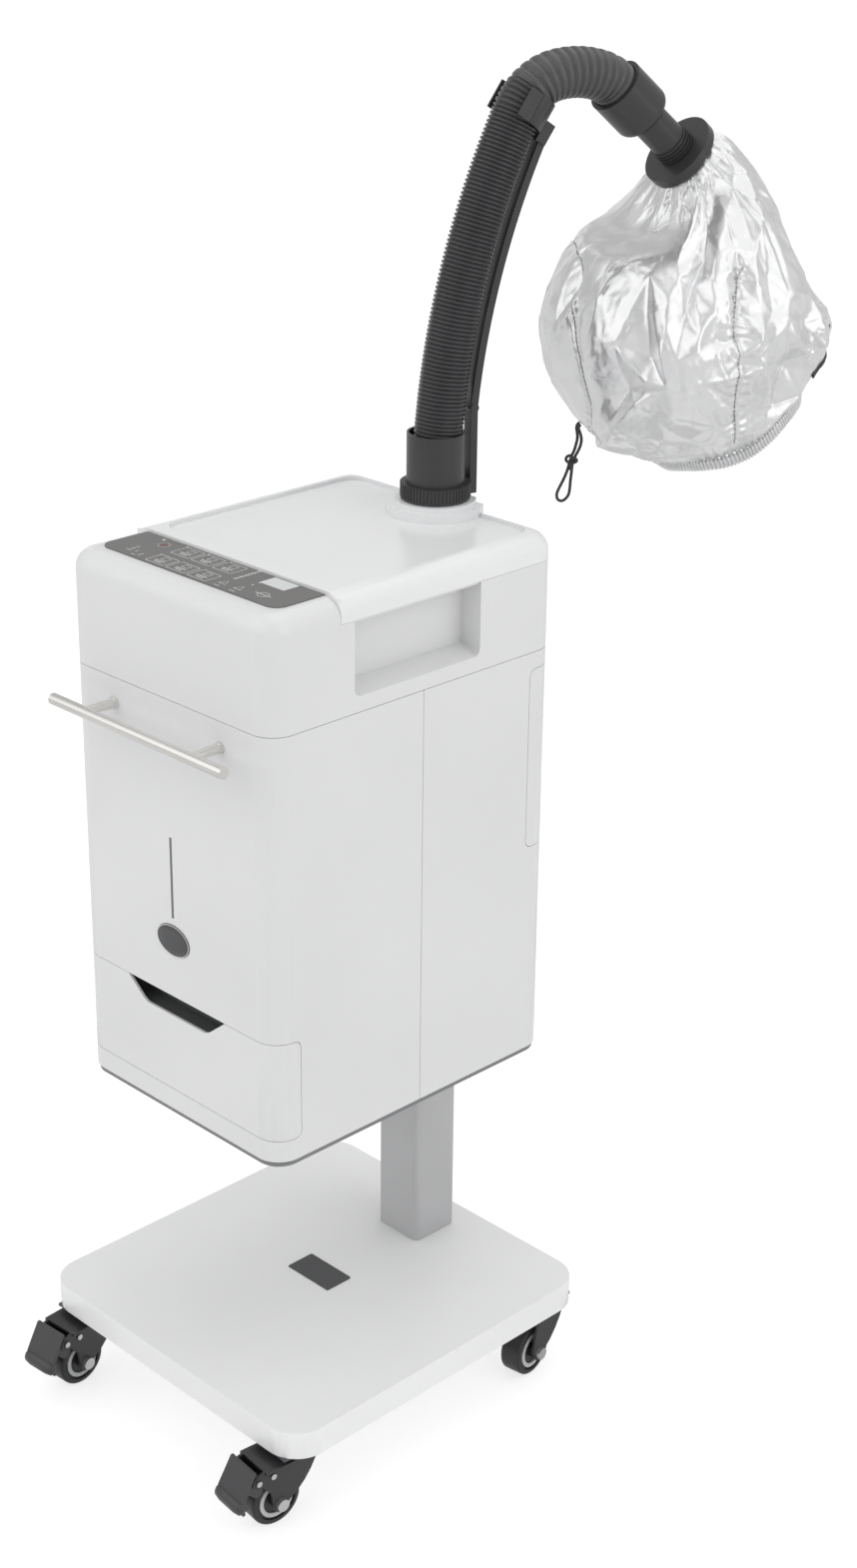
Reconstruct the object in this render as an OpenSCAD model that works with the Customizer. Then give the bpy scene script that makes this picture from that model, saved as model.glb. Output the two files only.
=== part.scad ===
// Hair steamer on a wheeled base: cabinet with boiler and water tank, swivelling hose arm, soft hood.

/* [Base] */
// Width of the base board
base_w = 416; // [400:2:440]
// Depth of the base board
base_d = 436; // [420:2:460]
// Thickness of the base board
base_t = 31.5; // [26:0.5:40]
// Radius of the base board's corners
base_r = 38; // [30:1:50]
// How far the base board reaches in front of the cabinet
base_front = 31; // [24:1:45]
// Height of the board's underside above the floor
caster_h = 87; // [85:0.5:95]

/* [Casters] */
// Diameter of a wheel
wheel_d = 60; // [56:1:62]
// Width of a wheel
wheel_w = 25; // [20:1:28]
// Distance of the wheel axle from the swivel axis
caster_trail = 26; // [24:1:28]
// Outer width over the fork's two cheeks
fork_w = 42; // [40:1:46]
// Thickness of a fork cheek
fork_t = 3; // [2:0.5:4]
// Diameter of the wheel axle
axle_d = 8; // [6:0.5:10]
// Distance of the swivel axes from the board's sides
caster_inset_x = 40; // [36:1:48]
// Distance of the swivel axes from the board's front and back
caster_inset_y = 29; // [27:1:36]

/* [Column] */
// Width of the column
column_w = 65; // [50:1:80]
// Depth of the column
column_d = 62; // [50:1:80]
// Corner radius of the column
column_r = 8; // [4:1:12]
// Wall of the column
column_wall = 3; // [2:0.5:4]
// Distance from the cabinet's front to the column's centre
column_y = 345; // [300:1:350]

/* [Cabinet] */
// Width of the cabinet
cab_w = 305; // [295:1:320]
// Depth of the cabinet
cab_d = 387; // [380:1:400]
// Radius of the cabinet's upright corners
cab_r = 27; // [20:1:35]
// Wall of the plastic shells
wall = 3; // [2.5:0.5:4]
// Height of the shells' bottom edge above the floor
cab_z = 405.5; // [400:0.5:420]
// Height of the shell's strip below the drawer
apron_h = 24; // [18:1:30]
// Height from the shells' bottom edge to the top of the drawer
drawer_h = 133; // [125:1:145]
// Height from the shells' bottom edge to the upper housing
shell_h = 457; // [440:1:470]
// Height of the upper housing below the lid's edge
housing_h = 93; // [90:1:100]
// Height of the lid, from its lower edge to its top
lid_h = 28; // [26:1:34]
// Distance from the cabinet's front to the lid
lid_y = 88.5; // [86:0.5:95]
// Distance from the cabinet's front to the joint of the two shells
split_y = 197.7; // [180:0.1:220]
// Gap that shows at each joint between shells
seam = 0.6; // [0.4:0.1:1]

/* [Handle] */
// Diameter of the bar
bar_d = 12; // [10:0.5:14]
// Length of the bar
bar_l = 260; // [230:2:290]
// Distance between the two posts
post_gap = 160; // [120:2:200]
// Distance from the cabinet's front to the bar's centre
bar_off = 38; // [32:1:50]
// How far the bar lies below the joint of the upper housing
bar_drop = 27; // [20:1:70]

/* [Hose and arm] */
// Distance of the collar's axis from the cabinet's middle
hose_x = 10; // [-20:1:20]
// Distance from the cabinet's front to the collar's axis
hose_y = 352; // [330:1:352]
// Direction in which the arm reaches, from straight back towards the right
arm_turn = 15; // [0:1:20]
// Outer diameter of the hose over its ribs
hose_d = 50; // [46:1:50]
// Bore of the hose
hose_bore = 38; // [34:1:40]
// Distance between the ribs below the clip
rib_pitch = 4.2; // [4:0.1:6]
// Distance between the ribs above the clip, where the hose is stretched
stretched_pitch = 8.4; // [7:0.1:10]
// Radius of the arm's long curve
arm_bend = 860; // [820:5:900]
// Diameter of the two smooth cuffs
cuff_d = 60; // [59:0.5:62]
// Height of the lower cuff above the lock ring
cuff_h = 52; // [45:1:60]
// Height of the lock ring
ring_h = 14; // [12:0.5:18]
// Outer diameter of the lock ring
ring_d = 73; // [70:0.5:76]
// Distance between the arm's centre and the hose's centre
arm_off = 36; // [35:0.5:38]

/* [Hood] */
// Length of the upper cuff and its nozzle, from the mouth to the flange
nozzle_l = 104; // [98:1:112]
// Outer diameter of the nozzle's tube
nozzle_d = 38; // [34:1:40]
// Diameter of the flange
flange_d = 80; // [76:1:84]
// Thickness of the flange
flange_t = 10; // [8:0.5:12]
// Diameter of the hood at its widest
hood_d = 298; // [280:2:310]
// Height of the hood, from its neck to the middle of its hem
hood_h = 268; // [250:2:280]
// Thickness of the hood's fabric and its lining
fabric = 2.4; // [2:0.1:3]
// Width of the elastic hem
hem_w = 14; // [10:1:18]
// Diameter of the drawcord
cord_d = 2.6; // [2:0.1:3]

/* [Hidden] */

$fn = 96;

run = 0.05;                    // radial clearance of a running fit
clear = 0.3;                   // clearance where two pieces only lie against each other
base_top = caster_h + base_t;
swivel_x = base_w / 2 - caster_inset_x;
front_swivel_y = caster_inset_y - base_front;
rear_swivel_y = base_d - base_front - caster_inset_y;
// Each caster: side, distance from the cabinet's front, and how it stands turned at rest
CASTERS = [[-1, front_swivel_y, 4], [1, front_swivel_y, -6],
    [-1, rear_swivel_y, -7], [1, rear_swivel_y, 8]];

wheel_r = wheel_d / 2;
plate_t = 3;                   // caster plate under the board
race_h = 5;                    // ball race between plate and fork
fork_top = caster_h - plate_t - race_h;
pin_d = 10;                    // kingpin
cheek_gap = fork_w - 2 * fork_t;
pivot_t = caster_trail + 28;   // brake pivot, ahead of the swivel axis
pivot_z = wheel_r + 39;
rivet_r = 3;

pan_h = 9;                     // bottom pan below the shells
gap_h = 2;                     // shadow gap between pan and shells
pan_top = cab_z - gap_h;
pan_z = pan_top - pan_h;
plate_h = 4;                   // chassis plate
floor_z = pan_top + plate_h;
head_w = 110;
head_d = 66;
seam_z = cab_z + shell_h;
lid_z = seam_z + housing_h;
top_z = lid_z + lid_h;
panel_z = top_z - 4;           // top face of the front module
edge_round = 20;               // rounding of the top edges all round
panel_y = 27;                  // front edge of the key panel
bar_z = seam_z - bar_drop;
drawer_z = cab_z + drawer_h;
drawer_z0 = cab_z + apron_h;
drawer_wrap = 33;              // drawer front's reach round the corners
corner_cut = 8;                // rounding of the drawer front's and the door's ends

grip_y = [106, 275];           // side grips, from front to back
grip_z = seam_z + 16;
grip_depth = 27;
door_y = 349;                  // rear door's reach round the corners
door_z = [seam_z - 217, seam_z - 19];

collar_z = top_z + 10;         // top of the boss that carries the hose
ring_z = collar_z + 3;
ring_top = ring_z + ring_h;
cuff_r = cuff_d / 2;
cuff_z = ring_z + 5.8;
cuff_top = ring_top + cuff_h;
hose_r = hose_d / 2;
bore_r = hose_bore / 2;
seat_l = 25;                   // depth to which the hose sits in the lower cuff
hose_z = cuff_top - seat_l;
lean = 6;                      // heading of the hose where it leaves the lower cuff
// The hose's centre line above the cuff: radius of each bend and heading at its end
BENDS = [[arm_bend, 26], [60, 80], [110, 110], [35, 131]];
straight_l = 50;
clip_past = 8;                 // clip's place, past the end of the long curve
split_past = 22;               // where the stretched part begins
mouth_gap = 4;                 // straight hose in front of the upper cuff's mouth
head_seat = 46;                // depth to which the hose sits in the upper cuff
head_tilt = BENDS[3][1];

function arc_l(r, a, b) = r * (b - a) * PI / 180;
function walk(s, p, i) =
    let (r = BENDS[i][0], h = p[2], e = BENDS[i][1], l = arc_l(r, h, e))
    s <= l || i == 3
    ? let (g = min(h + s / r * 180 / PI, e), rest = max(s - l, 0))
        [p[0] + r * (cos(h) - cos(g)) + rest * sin(g), p[1] + r * (sin(g) - sin(h)) + rest * cos(g), g]
    : walk(s - l, [p[0] + r * (cos(h) - cos(e)), p[1] + r * (sin(e) - sin(h)), e], i + 1);
// Point and heading on the hose's centre line, at a length s from its lower end
function hose_at(s) =
    s <= straight_l
    ? [s * sin(lean), hose_z + s * cos(lean), lean]
    : walk(s - straight_l, [straight_l * sin(lean), hose_z + straight_l * cos(lean), lean], 0);

arm_l = straight_l + arc_l(arm_bend, lean, BENDS[0][1]);
clip_s = arm_l + clip_past;
split_s = arm_l + split_past;
bend_l = arm_l + arc_l(BENDS[1][0], BENDS[0][1], BENDS[1][1])
    + arc_l(BENDS[2][0], BENDS[1][1], BENDS[2][1]) + arc_l(BENDS[3][0], BENDS[2][1], BENDS[3][1]);
head_p = hose_at(bend_l + mouth_gap);  // centre of the upper cuff's mouth
hose_l = bend_l + mouth_gap + head_seat;
tilt_p = hose_at(split_s + (bend_l - split_s) / 2);

neck_s = nozzle_l + flange_t + clear;
neck_p = [head_p[0] + neck_s * sin(head_tilt), head_p[1] + neck_s * cos(head_tilt)];
neck_r = 33;
k = hood_h / 268;
hood_r = hood_d / 2;
// The hood's sections: reach and drop from the neck, tilt of the section's axis, and radius
HOOD = [[0, 0, 90 - head_tilt, neck_r], [8 * k, -27 * k, -52, 0.38 * hood_r], [6 * k, -83 * k, -84, 0.72 * hood_r],
    [9 * k, -158 * k, -84, 0.97 * hood_r], [21 * k, -200 * k, -75, hood_r], [39 * k, -241 * k, -68, 0.93 * hood_r],
    [53 * k, -263 * k, -60, 0.76 * hood_r]];
hood_sides = 32;
hood_rings = 14;

// The drawcord's route from the hood's neck, along the arm's own frame: across, reach, height
CORD = [[-59, -76, -287.1], [-60, -78, -289], [-60.8, -78.5, -293.1], [-61, -77.3, -298.6],
    [-61, -76.8, -304.6], [-61, -78.1, -310.6], [-61, -80.1, -317.1], [-61.4, -83.1, -323.6],
    [-61.6, -85.1, -329.6], [-61.4, -87.1, -336.1], [-60.5, -90.3, -342.6], [-60, -94.6, -350.1],
    [-60, -99.1, -357.6], [-60, -101.6, -363.6], [-60, -100.6, -369.1], [-60, -96.1, -372.1],
    [-60, -91.1, -371.1], [-60, -86.6, -366.6], [-60, -85.1, -359.6], [-60, -84.6, -351.6],
    [-59.5, -84.1, -343.6], [-58.8, -83.9, -336.1], [-58.4, -83.3, -329.6], [-57.6, -81.1, -323.6],
    [-56.5, -77.9, -317.1], [-55.5, -75.8, -310.6], [-55, -75.5, -304.1], [-55, -77.1, -298.1],
    [-55, -79.1, -293.6], [-55, -79.4, -290.2], [-54, -77.5, -288.1]];
knot_p = [-60, -84.3, -329.6];
knot_r = 5.5;

// The outside box of the whole object, and so the origin under its middle
hood_points = [for (i = [0:hood_rings]) each hood_ring(i * (len(HOOD) - 1) / hood_rings, 0)];
hood_x = hose_x + max([for (p = hood_points) p[0] * cos(arm_turn) + p[1] * sin(arm_turn)]);
hood_y = hose_y + max([for (p = hood_points) p[1] * cos(arm_turn) - p[0] * sin(arm_turn)]);
toe_y = min([for (c = [CASTERS[0], CASTERS[1]])
    c[1] - (pivot_t + 26) * cos(c[2]) - fork_w / 2 * abs(sin(c[2]))]);
origin_x = (hood_x - base_w / 2) / 2;
origin_y = (hood_y + toe_y) / 2;

module place() {
    translate([-origin_x, -origin_y, 0]) children();
}

// The arm's own frame: y runs along its reach, z up, x across
module in_arm() {
    place() translate([hose_x, hose_y, 0]) rotate([0, 0, -arm_turn]) children();
}

// The hood's nozzle frame: z runs down the nozzle from the upper cuff's mouth
module in_nozzle() {
    in_arm() translate([0, head_p[0], head_p[1]]) rotate([-head_tilt, 0, 0]) children();
}

module rounded(w, d, r) {
    square([w - 2 * r, d], center = true);
    square([w, d - 2 * r], center = true);
    for (x = [-1, 1], y = [-1, 1]) translate([x * (w / 2 - r), y * (d / 2 - r)]) circle(r);
}

// Upright block with round corners, its front face on y = 0 moved in by the margin
module block(z0, z1, margin = 0) {
    translate([0, cab_d / 2, z0])
        linear_extrude(z1 - z0)
            rounded(cab_w - 2 * margin, cab_d - 2 * margin, cab_r - margin);
}

module slab(x0, x1, y0, y1, z0, z1) {
    translate([x0, y0, z0]) cube([x1 - x0, y1 - y0, z1 - z0]);
}

// Upright section from the middle of a round corner outwards, with the round top edge
module edge_section(z0, top, r, e) {
    translate([0, z0]) square([r, top - e - z0]);
    translate([0, z0]) square([r - e, top - z0]);
    translate([r - e, top - e]) intersection() {
        circle(e);
        square(e);
    }
}

// Block with round corners whose top edge is round too: corners, a bar across the middle and two sides
module topped(z0, z, margin) {
    w = cab_w / 2 - margin;
    d = cab_d / 2 - margin;
    r = cab_r - margin;
    e = edge_round - margin;
    top = z - margin;
    translate([0, cab_d / 2, 0]) {
        for (s = [0, 1], t = [0, 1]) mirror([s, 0, 0]) mirror([0, t, 0]) translate([w - r, d - r, 0])
            rotate_extrude(angle = 90) edge_section(z0, top, r, e);
        for (s = [0, 1]) {
            mirror([s, 0, 0]) translate([w - r, d - r, 0]) rotate([90, 0, 0])
                linear_extrude(2 * (d - r)) edge_section(z0, top, r, e);
            mirror([0, s, 0]) translate([-w + r, d - r, 0]) rotate([90, 0, 90])
                linear_extrude(2 * (w - r)) edge_section(z0, top, r, e);
        }
        translate([-w + r, -d + r, z0]) cube([2 * (w - r), 2 * (d - r), top - z0]);
    }
}

// Base and column

module base_board() {
    color("#eef0f1") place() difference() {
        translate([0, base_d / 2 - base_front, caster_h]) linear_extrude(base_t) rounded(base_w, base_d, base_r);
        for (p = foot_holes()) {
            translate([p[0], p[1], caster_h - 1]) cylinder(d = screw_d + 0.6, h = base_t + 2);
            translate([p[0], p[1], caster_h - 1]) cylinder(d = 2 * screw_d + 1, h = screw_head + 2);
        }
    }
}

screw_d = 8;
screw_head = 6;
foot_t = 14;
function foot_holes() = [for (x = [-1, 1], y = [-1, 1]) [x * (column_w / 2 - 15), column_y + y * (column_d / 2 - 15)]];
function head_holes() = [for (x = [-1, 1]) [x * (head_w / 2 - 11), column_y]];

// Threaded block welded in the column's lower end
module column_foot() {
    color("#6d7073") place() difference() {
        translate([0, column_y, base_top]) linear_extrude(foot_t)
            rounded(column_w - 2 * column_wall, column_d - 2 * column_wall, column_r - column_wall);
        for (p = foot_holes()) translate([p[0], p[1], base_top - 1]) cylinder(r = screw_d / 2 + run, h = foot_t + 2);
    }
}

module column() {
    color("#9ea1a4") place() translate([0, column_y, base_top]) linear_extrude(pan_z - base_top) difference() {
        rounded(column_w, column_d, column_r);
        rounded(column_w - 2 * column_wall, column_d - 2 * column_wall, column_r - column_wall);
    }
}

module column_head() {
    color("#6d7073") place() difference() {
        translate([-head_w / 2, column_y - head_d / 2, pan_z]) cube([head_w, head_d, pan_h]);
        for (p = head_holes()) translate([p[0], p[1], pan_z - 1]) cylinder(r = screw_d / 2 + run, h = pan_h + 2);
    }
}

module screw(l) {
    cylinder(d = screw_d, h = l);
    translate([0, 0, -screw_head]) cylinder(d = 2 * screw_d, h = screw_head);
}

module frame_screws() {
    color("#c6c8ca") place() {
        for (p = foot_holes()) translate([p[0], p[1], caster_h + screw_head + 1]) screw(base_t + foot_t - screw_head - 2);
        for (p = head_holes()) translate([p[0], p[1], floor_z]) rotate([180, 0, 0]) screw(plate_h + pan_h - 1);
    }
}

module label_plate() {
    color("#4a4b4d") place() translate([0, 193, base_top]) linear_extrude(0.8) rounded(66, 36, 2);
}

// Casters: local frame with the swivel axis at the origin and the wheel towards -y

module at_caster(i) {
    place() translate([CASTERS[i][0] * swivel_x, CASTERS[i][1], 0]) rotate([0, 0, CASTERS[i][2]]) children();
}

// Extrudes an outline drawn as (forward, up) across the caster
module across(w) {
    rotate([0, 0, -90]) rotate([90, 0, 0]) translate([0, 0, -w / 2]) linear_extrude(w) children();
}

module caster_plates() {
    color("#2d2e30") for (i = [0:3]) at_caster(i) {
        translate([-25, -25, caster_h - plate_t]) cube([50, 50, plate_t]);
        translate([0, 0, fork_top + clear]) cylinder(r = 20, h = race_h - clear);
        translate([0, 0, fork_top - fork_t - 3]) cylinder(d = pin_d, h = fork_t + 4);
        translate([0, 0, fork_top - fork_t - 3]) cylinder(d = pin_d + 5, h = 3 - clear);
    }
}

// Cheek of a fork, with the brake's pivot only where the caster has a brake
module cheek(brake) {
    front = brake
        ? [[46, fork_top], [pivot_t + 4, pivot_z + 6], [pivot_t + 5, pivot_z - 5], [pivot_t - 6, pivot_z - 9],
            [caster_trail + 12, wheel_r + 18]]
        : [[24, fork_top], [28, fork_top - 5], [caster_trail + 12, wheel_r + 8]];
    polygon(concat([[-20, fork_top]], front, [[caster_trail + 9.5, wheel_r], [caster_trail - 9.5, wheel_r],
        [6, wheel_r + 7], [-4, wheel_r + 17], [-12, fork_top - 21], [-19, fork_top - 8]]));
    translate([caster_trail, wheel_r]) circle(9.5);
    if (brake) translate([pivot_t, pivot_z]) circle(7);
}

module fork(i) {
    brake = i < 2;
    color("#38393b") at_caster(i) difference() {
        union() {
            translate([-24, brake ? -46 : -24, fork_top - fork_t]) cube([48, brake ? 66 : 44, fork_t]);
            for (s = [-1, 1]) translate([s * (fork_w - fork_t) / 2, 0, 0]) across(fork_t) cheek(brake);
            if (brake) for (p = [[pivot_t, pivot_z], [pivot_t - 18, pivot_z + 1]])
                translate([0, -p[0], p[1]]) rotate([0, 90, 0]) cylinder(r = rivet_r, h = fork_w + 3, center = true);
        }
        translate([0, 0, fork_top - 10]) cylinder(r = pin_d / 2 + run, h = 20);
        translate([0, -caster_trail, wheel_r]) rotate([0, 90, 0])
            cylinder(r = axle_d / 2 + run, h = 2 * fork_w, center = true);
    }
}

module wheel(i) {
    hub = cheek_gap - 2 * clear;
    color("#232425") at_caster(i) translate([0, -caster_trail, wheel_r]) rotate([0, 90, 0]) difference() {
        union() {
            rotate_extrude() {
                translate([0, -wheel_w / 2]) square([wheel_r - 3, wheel_w]);
                translate([0, -wheel_w / 2 + 3]) square([wheel_r, wheel_w - 6]);
                for (s = [-1, 1]) translate([wheel_r - 3, s * (wheel_w / 2 - 3)]) circle(3);
            }
            cylinder(r = 8, h = hub, center = true);
        }
        for (s = [-1, 1]) translate([0, 0, s * wheel_w / 2]) difference() {
            cylinder(r = wheel_r - 6, h = 4, center = true);
            cylinder(r = 8, h = 5, center = true);
        }
        cylinder(r = axle_d / 2 + run, h = 2 * fork_w, center = true);
    }
}

module axle(i) {
    color("#c6c8ca") at_caster(i) translate([0, -caster_trail, wheel_r]) rotate([0, 90, 0]) {
        cylinder(d = axle_d, h = fork_w + 2, center = true);
        translate([0, 0, fork_w / 2]) cylinder(r = 7, h = 4.5);
        translate([0, 0, -fork_w / 2 - 4.5]) cylinder(r = 7, h = 4.5, $fn = 6);
    }
}

// Brake pedal: a lever plate over the fork's full width, two ears on the pivot and a round shoe
module brake_pedal(i) {
    ear_t = 2.6;
    ear_x = cheek_gap / 2 - clear - ear_t / 2;
    shoe = [pivot_t - 1, pivot_z - 14];
    shoe_r = norm([shoe[0] - caster_trail, shoe[1] - wheel_r]) - wheel_r - clear;
    color("#47484a") at_caster(i) difference() {
        union() {
            across(fork_w) {
                polygon([[pivot_t + 2.5, pivot_z + 14], [pivot_t + 5.5, pivot_z + 14], [pivot_t + 10, pivot_z + 6],
                    [pivot_t + 17.5, pivot_z - 7], [pivot_t + 22, pivot_z - 15], [pivot_t + 21, pivot_z - 30],
                    [pivot_t + 17, pivot_z - 30], [pivot_t + 19, pivot_z - 21], [pivot_t + 14, pivot_z - 10],
                    [pivot_t + 7, pivot_z + 5]]);
                translate([pivot_t + 20, pivot_z - 22]) circle(6);
                translate([pivot_t + 19, pivot_z - 30]) circle(2);
            }
            for (s = [-1, 1]) translate([s * ear_x, 0, 0]) across(ear_t) {
                translate([pivot_t, pivot_z]) circle(6.5);
                polygon([[pivot_t - 1, pivot_z + 6], [pivot_t + 8, pivot_z + 4], [pivot_t + 16, pivot_z - 9],
                    [pivot_t + 4, pivot_z - 16], [pivot_t - 4, pivot_z - 16], [pivot_t - 6, pivot_z - 2]]);
            }
            translate([0, -shoe[0], shoe[1]]) rotate([0, 90, 0])
                cylinder(r = shoe_r, h = cheek_gap - 2 * clear - 1, center = true);
        }
        translate([0, -pivot_t, pivot_z]) rotate([0, 90, 0]) cylinder(r = rivet_r + run, h = 2 * fork_w, center = true);
    }
}

// Cabinet

module pan_ring(z, margin) {
    translate([0, cab_d / 2, z]) linear_extrude(0.2)
        rounded(cab_w - 2 * margin, cab_d - 2 * margin, cab_r - 2, $fn = 32);
}

module bottom_pan() {
    color("#8e9194") place() difference() {
        union() {
            hull() {
                pan_ring(pan_z + 5, 2);
                pan_ring(pan_z, 9);
            }
            translate([0, cab_d / 2, pan_z + 5]) linear_extrude(pan_h - 5) rounded(cab_w - 4, cab_d - 4, cab_r - 2);
        }
        translate([-head_w / 2 - clear, column_y - head_d / 2 - clear, pan_z - 1])
            cube([head_w + 2 * clear, head_d + 2 * clear, pan_h + 2]);
    }
}

module chassis_plate() {
    color("#54575a") place() difference() {
        block(pan_top, floor_z, wall + clear);
        for (p = head_holes()) translate([p[0], p[1], pan_top - 1]) cylinder(d = screw_d + 0.6, h = plate_h + 2);
    }
}

// Outline of a piece that wraps the corners, seen from the side: it ends with round corners at y1
module wrap_outline(y0, y1, z0, z1, r) {
    s = sign(y1 - y0);
    translate([min(y0, y1 - s * r), z0]) square([abs(y1 - s * r - y0), z1 - z0]);
    translate([min(y0, y1), z0 + r]) square([abs(y1 - y0), z1 - z0 - 2 * r]);
    for (z = [z0 + r, z1 - r]) translate([y1 - s * r, z]) circle(r);
}

module wrap(y0, y1, z0, z1, r) {
    rotate([90, 0, 90]) translate([0, 0, -cab_w / 2 - 1]) linear_extrude(cab_w + 2) wrap_outline(y0, y1, z0, z1, r);
}

module skin(z0, z1) {
    difference() {
        block(z0, z1);
        block(z0 - 1, z1 + 1, wall);
    }
}

module front_shell() {
    color("#eceeef") place() difference() {
        skin(cab_z, seam_z - seam);
        slab(-cab_w, cab_w, split_y - seam / 2, cab_d + 1, cab_z - 1, seam_z + 1);
        wrap(-1, drawer_wrap + seam, drawer_z0 - seam, drawer_z, corner_cut + seam);
        for (x = [-1, 1]) translate([x * post_gap / 2, 0, bar_z]) rotate([-90, 0, 0])
            cylinder(r = 2.5 + run, h = 30, center = true);
        translate([0, 0, badge_z]) rotate([90, 0, 0]) linear_extrude(2 * badge_t, center = true) badge_outline(clear);
        slab(-strip_w / 2 - clear, strip_w / 2 + clear, -1, strip_t + clear, strip_z0 - clear, strip_z1 + clear);
    }
}

module rear_shell() {
    color("#e4e6e7") place() difference() {
        skin(cab_z, seam_z - seam);
        slab(-cab_w, cab_w, -1, split_y + seam / 2, cab_z - 1, seam_z + 1);
        wrap(cab_d + 1, door_y - seam, door_z[0] - seam, door_z[1] + seam, corner_cut + seam);
        slab(inlet_x - inlet_w / 2 - clear, inlet_x + inlet_w / 2 + clear, cab_d - 20, cab_d + 1,
            inlet_bottom - clear, inlet_top + clear);
    }
}

badge_w = 50;
badge_h = 34;
badge_t = 1.6;
badge_z = cab_z + 197;
strip_w = 3;
strip_t = 1.5;
strip_z0 = cab_z + 222;
strip_z1 = strip_z0 + 88;

// Ellipse
module badge_outline(grow) {
    polygon([for (a = [0:7.5:352.5]) [(badge_w / 2 + grow) * cos(a), (badge_h / 2 + grow) * sin(a)]]);
}

module badge() {
    color("#4b4d50") place() translate([0, badge_t, badge_z]) rotate([90, 0, 0]) linear_extrude(badge_t + 0.8) badge_outline(0);
}

module light_strip() {
    color("#5c5e61") place() slab(-strip_w / 2, strip_w / 2, 0.2, strip_t, strip_z0, strip_z1);
}

module handle_posts() {
    color("#c3c2bf") place() for (x = [-1, 1]) translate([x * post_gap / 2, 0, bar_z]) rotate([90, 0, 0]) {
        difference() {
            union() {
                cylinder(d = bar_d - 2, h = bar_off);
                cylinder(d = bar_d, h = 3);
            }
            translate([0, 0, bar_off]) rotate([0, 90, 0]) cylinder(r = bar_d / 2 + run, h = 40, center = true);
        }
        cylinder(r = 2.5, h = bar_off - 1);
        translate([0, 0, -8]) cylinder(r = 2.5, h = 9);
        translate([0, 0, -wall - 4.3]) cylinder(r = 5, h = 4);
    }
}

module handle_bar() {
    color("#cfcdca") place() translate([0, -bar_off, bar_z]) difference() {
        rotate([0, 90, 0]) cylinder(d = bar_d, h = bar_l, center = true);
        for (x = [-1, 1]) translate([x * post_gap / 2, bar_d, 0]) rotate([90, 0, 0]) cylinder(r = 2.5 + run, h = bar_d);
    }
}

// Pocket of a side grip, drawn for the right side: its sill slopes out and its ceiling is under the lid
module grip_pocket(margin) {
    w = cab_w / 2;
    r = 8 + margin;
    y0 = grip_y[0] - margin;
    y1 = grip_y[1] + margin;
    z0 = grip_z - margin;
    z1 = lid_z - wall + margin;
    difference() {
        translate([w - grip_depth - margin, 0, 0]) rotate([90, 0, 90]) linear_extrude(grip_depth + 2 + margin) {
            translate([y0, z0 + r]) square([y1 - y0, z1 - z0 - r]);
            translate([y0 + r, z0]) square([y1 - y0 - 2 * r, z1 - z0]);
            for (y = [y0 + r, y1 - r]) translate([y, z0 + r]) circle(r);
        }
        translate([w, 0, z0]) rotate([0, 17, 0]) translate([-60, y0 - 5, -40]) cube([80, y1 - y0 + 10, 40]);
    }
}

module grips(margin) {
    grip_pocket(margin);
    mirror([1, 0, 0]) grip_pocket(margin);
}

module upper_housing() {
    color("#eef0f1") place() difference() {
        topped(seam_z, panel_z, 0);
        difference() {
            topped(seam_z - 20, panel_z, wall);
            grips(wall);
        }
        grips(0);
        for (s = [-1, 1]) translate([s * (cab_w / 2 + 1), (grip_y[0] + grip_y[1]) / 2, lid_z - wall])
            cube([2 * wall + 2, grip_y[1] - grip_y[0], 2 * wall + 4], center = true);
        slab(-cab_w, cab_w, lid_y, cab_d + 1, lid_z, top_z + 2);
    }
}

tray_in = 17;                  // rim round the lid's tray
tray_depth = 4;

module top_cover() {
    color("#f0f2f3") place() difference() {
        union() {
            difference() {
                topped(lid_z + clear, top_z, 0);
                topped(lid_z - 20, top_z, wall + tray_depth);
                slab(-cab_w, cab_w, -1, lid_y + clear, lid_z - 1, top_z + 2);
                translate([0, (lid_y + cab_d) / 2, top_z - tray_depth]) linear_extrude(tray_depth + 1)
                    rounded(cab_w - 2 * tray_in - 8, cab_d - lid_y - 2 * tray_in, 20);
            }
            intersection() {
                block(lid_z, collar_z, 4);
                union() {
                    translate([hose_x, hose_y, top_z - tray_depth - wall]) cylinder(r = 50, h = collar_z - 5 - top_z + tray_depth + wall);
                    translate([hose_x, hose_y, top_z - tray_depth - wall]) cylinder(r = 42, h = collar_z - top_z + tray_depth + wall);
                }
            }
            slab(-cab_w / 2 + 4, cab_w / 2 - 4, lid_y + clear, lid_y + clear + wall, lid_z + clear, top_z - tray_depth);
        }
        translate([hose_x, hose_y, lid_z - 20]) cylinder(r = socket_r + clear, h = 100);
    }
}

panel_w = 262;
panel_t = 1.2;

module membrane_panel() {
    color("#6b6d70") place() translate([0, 0, panel_z]) linear_extrude(panel_t) {
        slab2(-panel_w / 2 + 14, panel_w / 2 - 14, panel_y, 60);
        for (s = [-1, 1]) translate([s * (panel_w / 2 - 14), panel_y + 14]) circle(14);
        slab2(-panel_w / 2, panel_w / 2, panel_y + 14, lid_y - 0.5);
    }
}

module slab2(x0, x1, y0, y1) {
    translate([x0, y0]) square([x1 - x0, y1 - y0]);
}

module display_window() {
    color("#d8dadb") place() translate([panel_w / 2 - 50, lid_y - 12.5, panel_z + panel_t]) linear_extrude(0.4) rounded(34, 20, 1);
}

module control_board() {
    color("#2f6b4a") place() {
        slab(-105, 105, 36, 84, panel_z - wall - 8, panel_z - wall - 6.4);
        for (x = [-95, 95]) translate([x, 60, panel_z - wall - 6.4]) cylinder(d = 6, h = 6.4 - clear);
    }
}

// Steam path inside the cabinet

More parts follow.
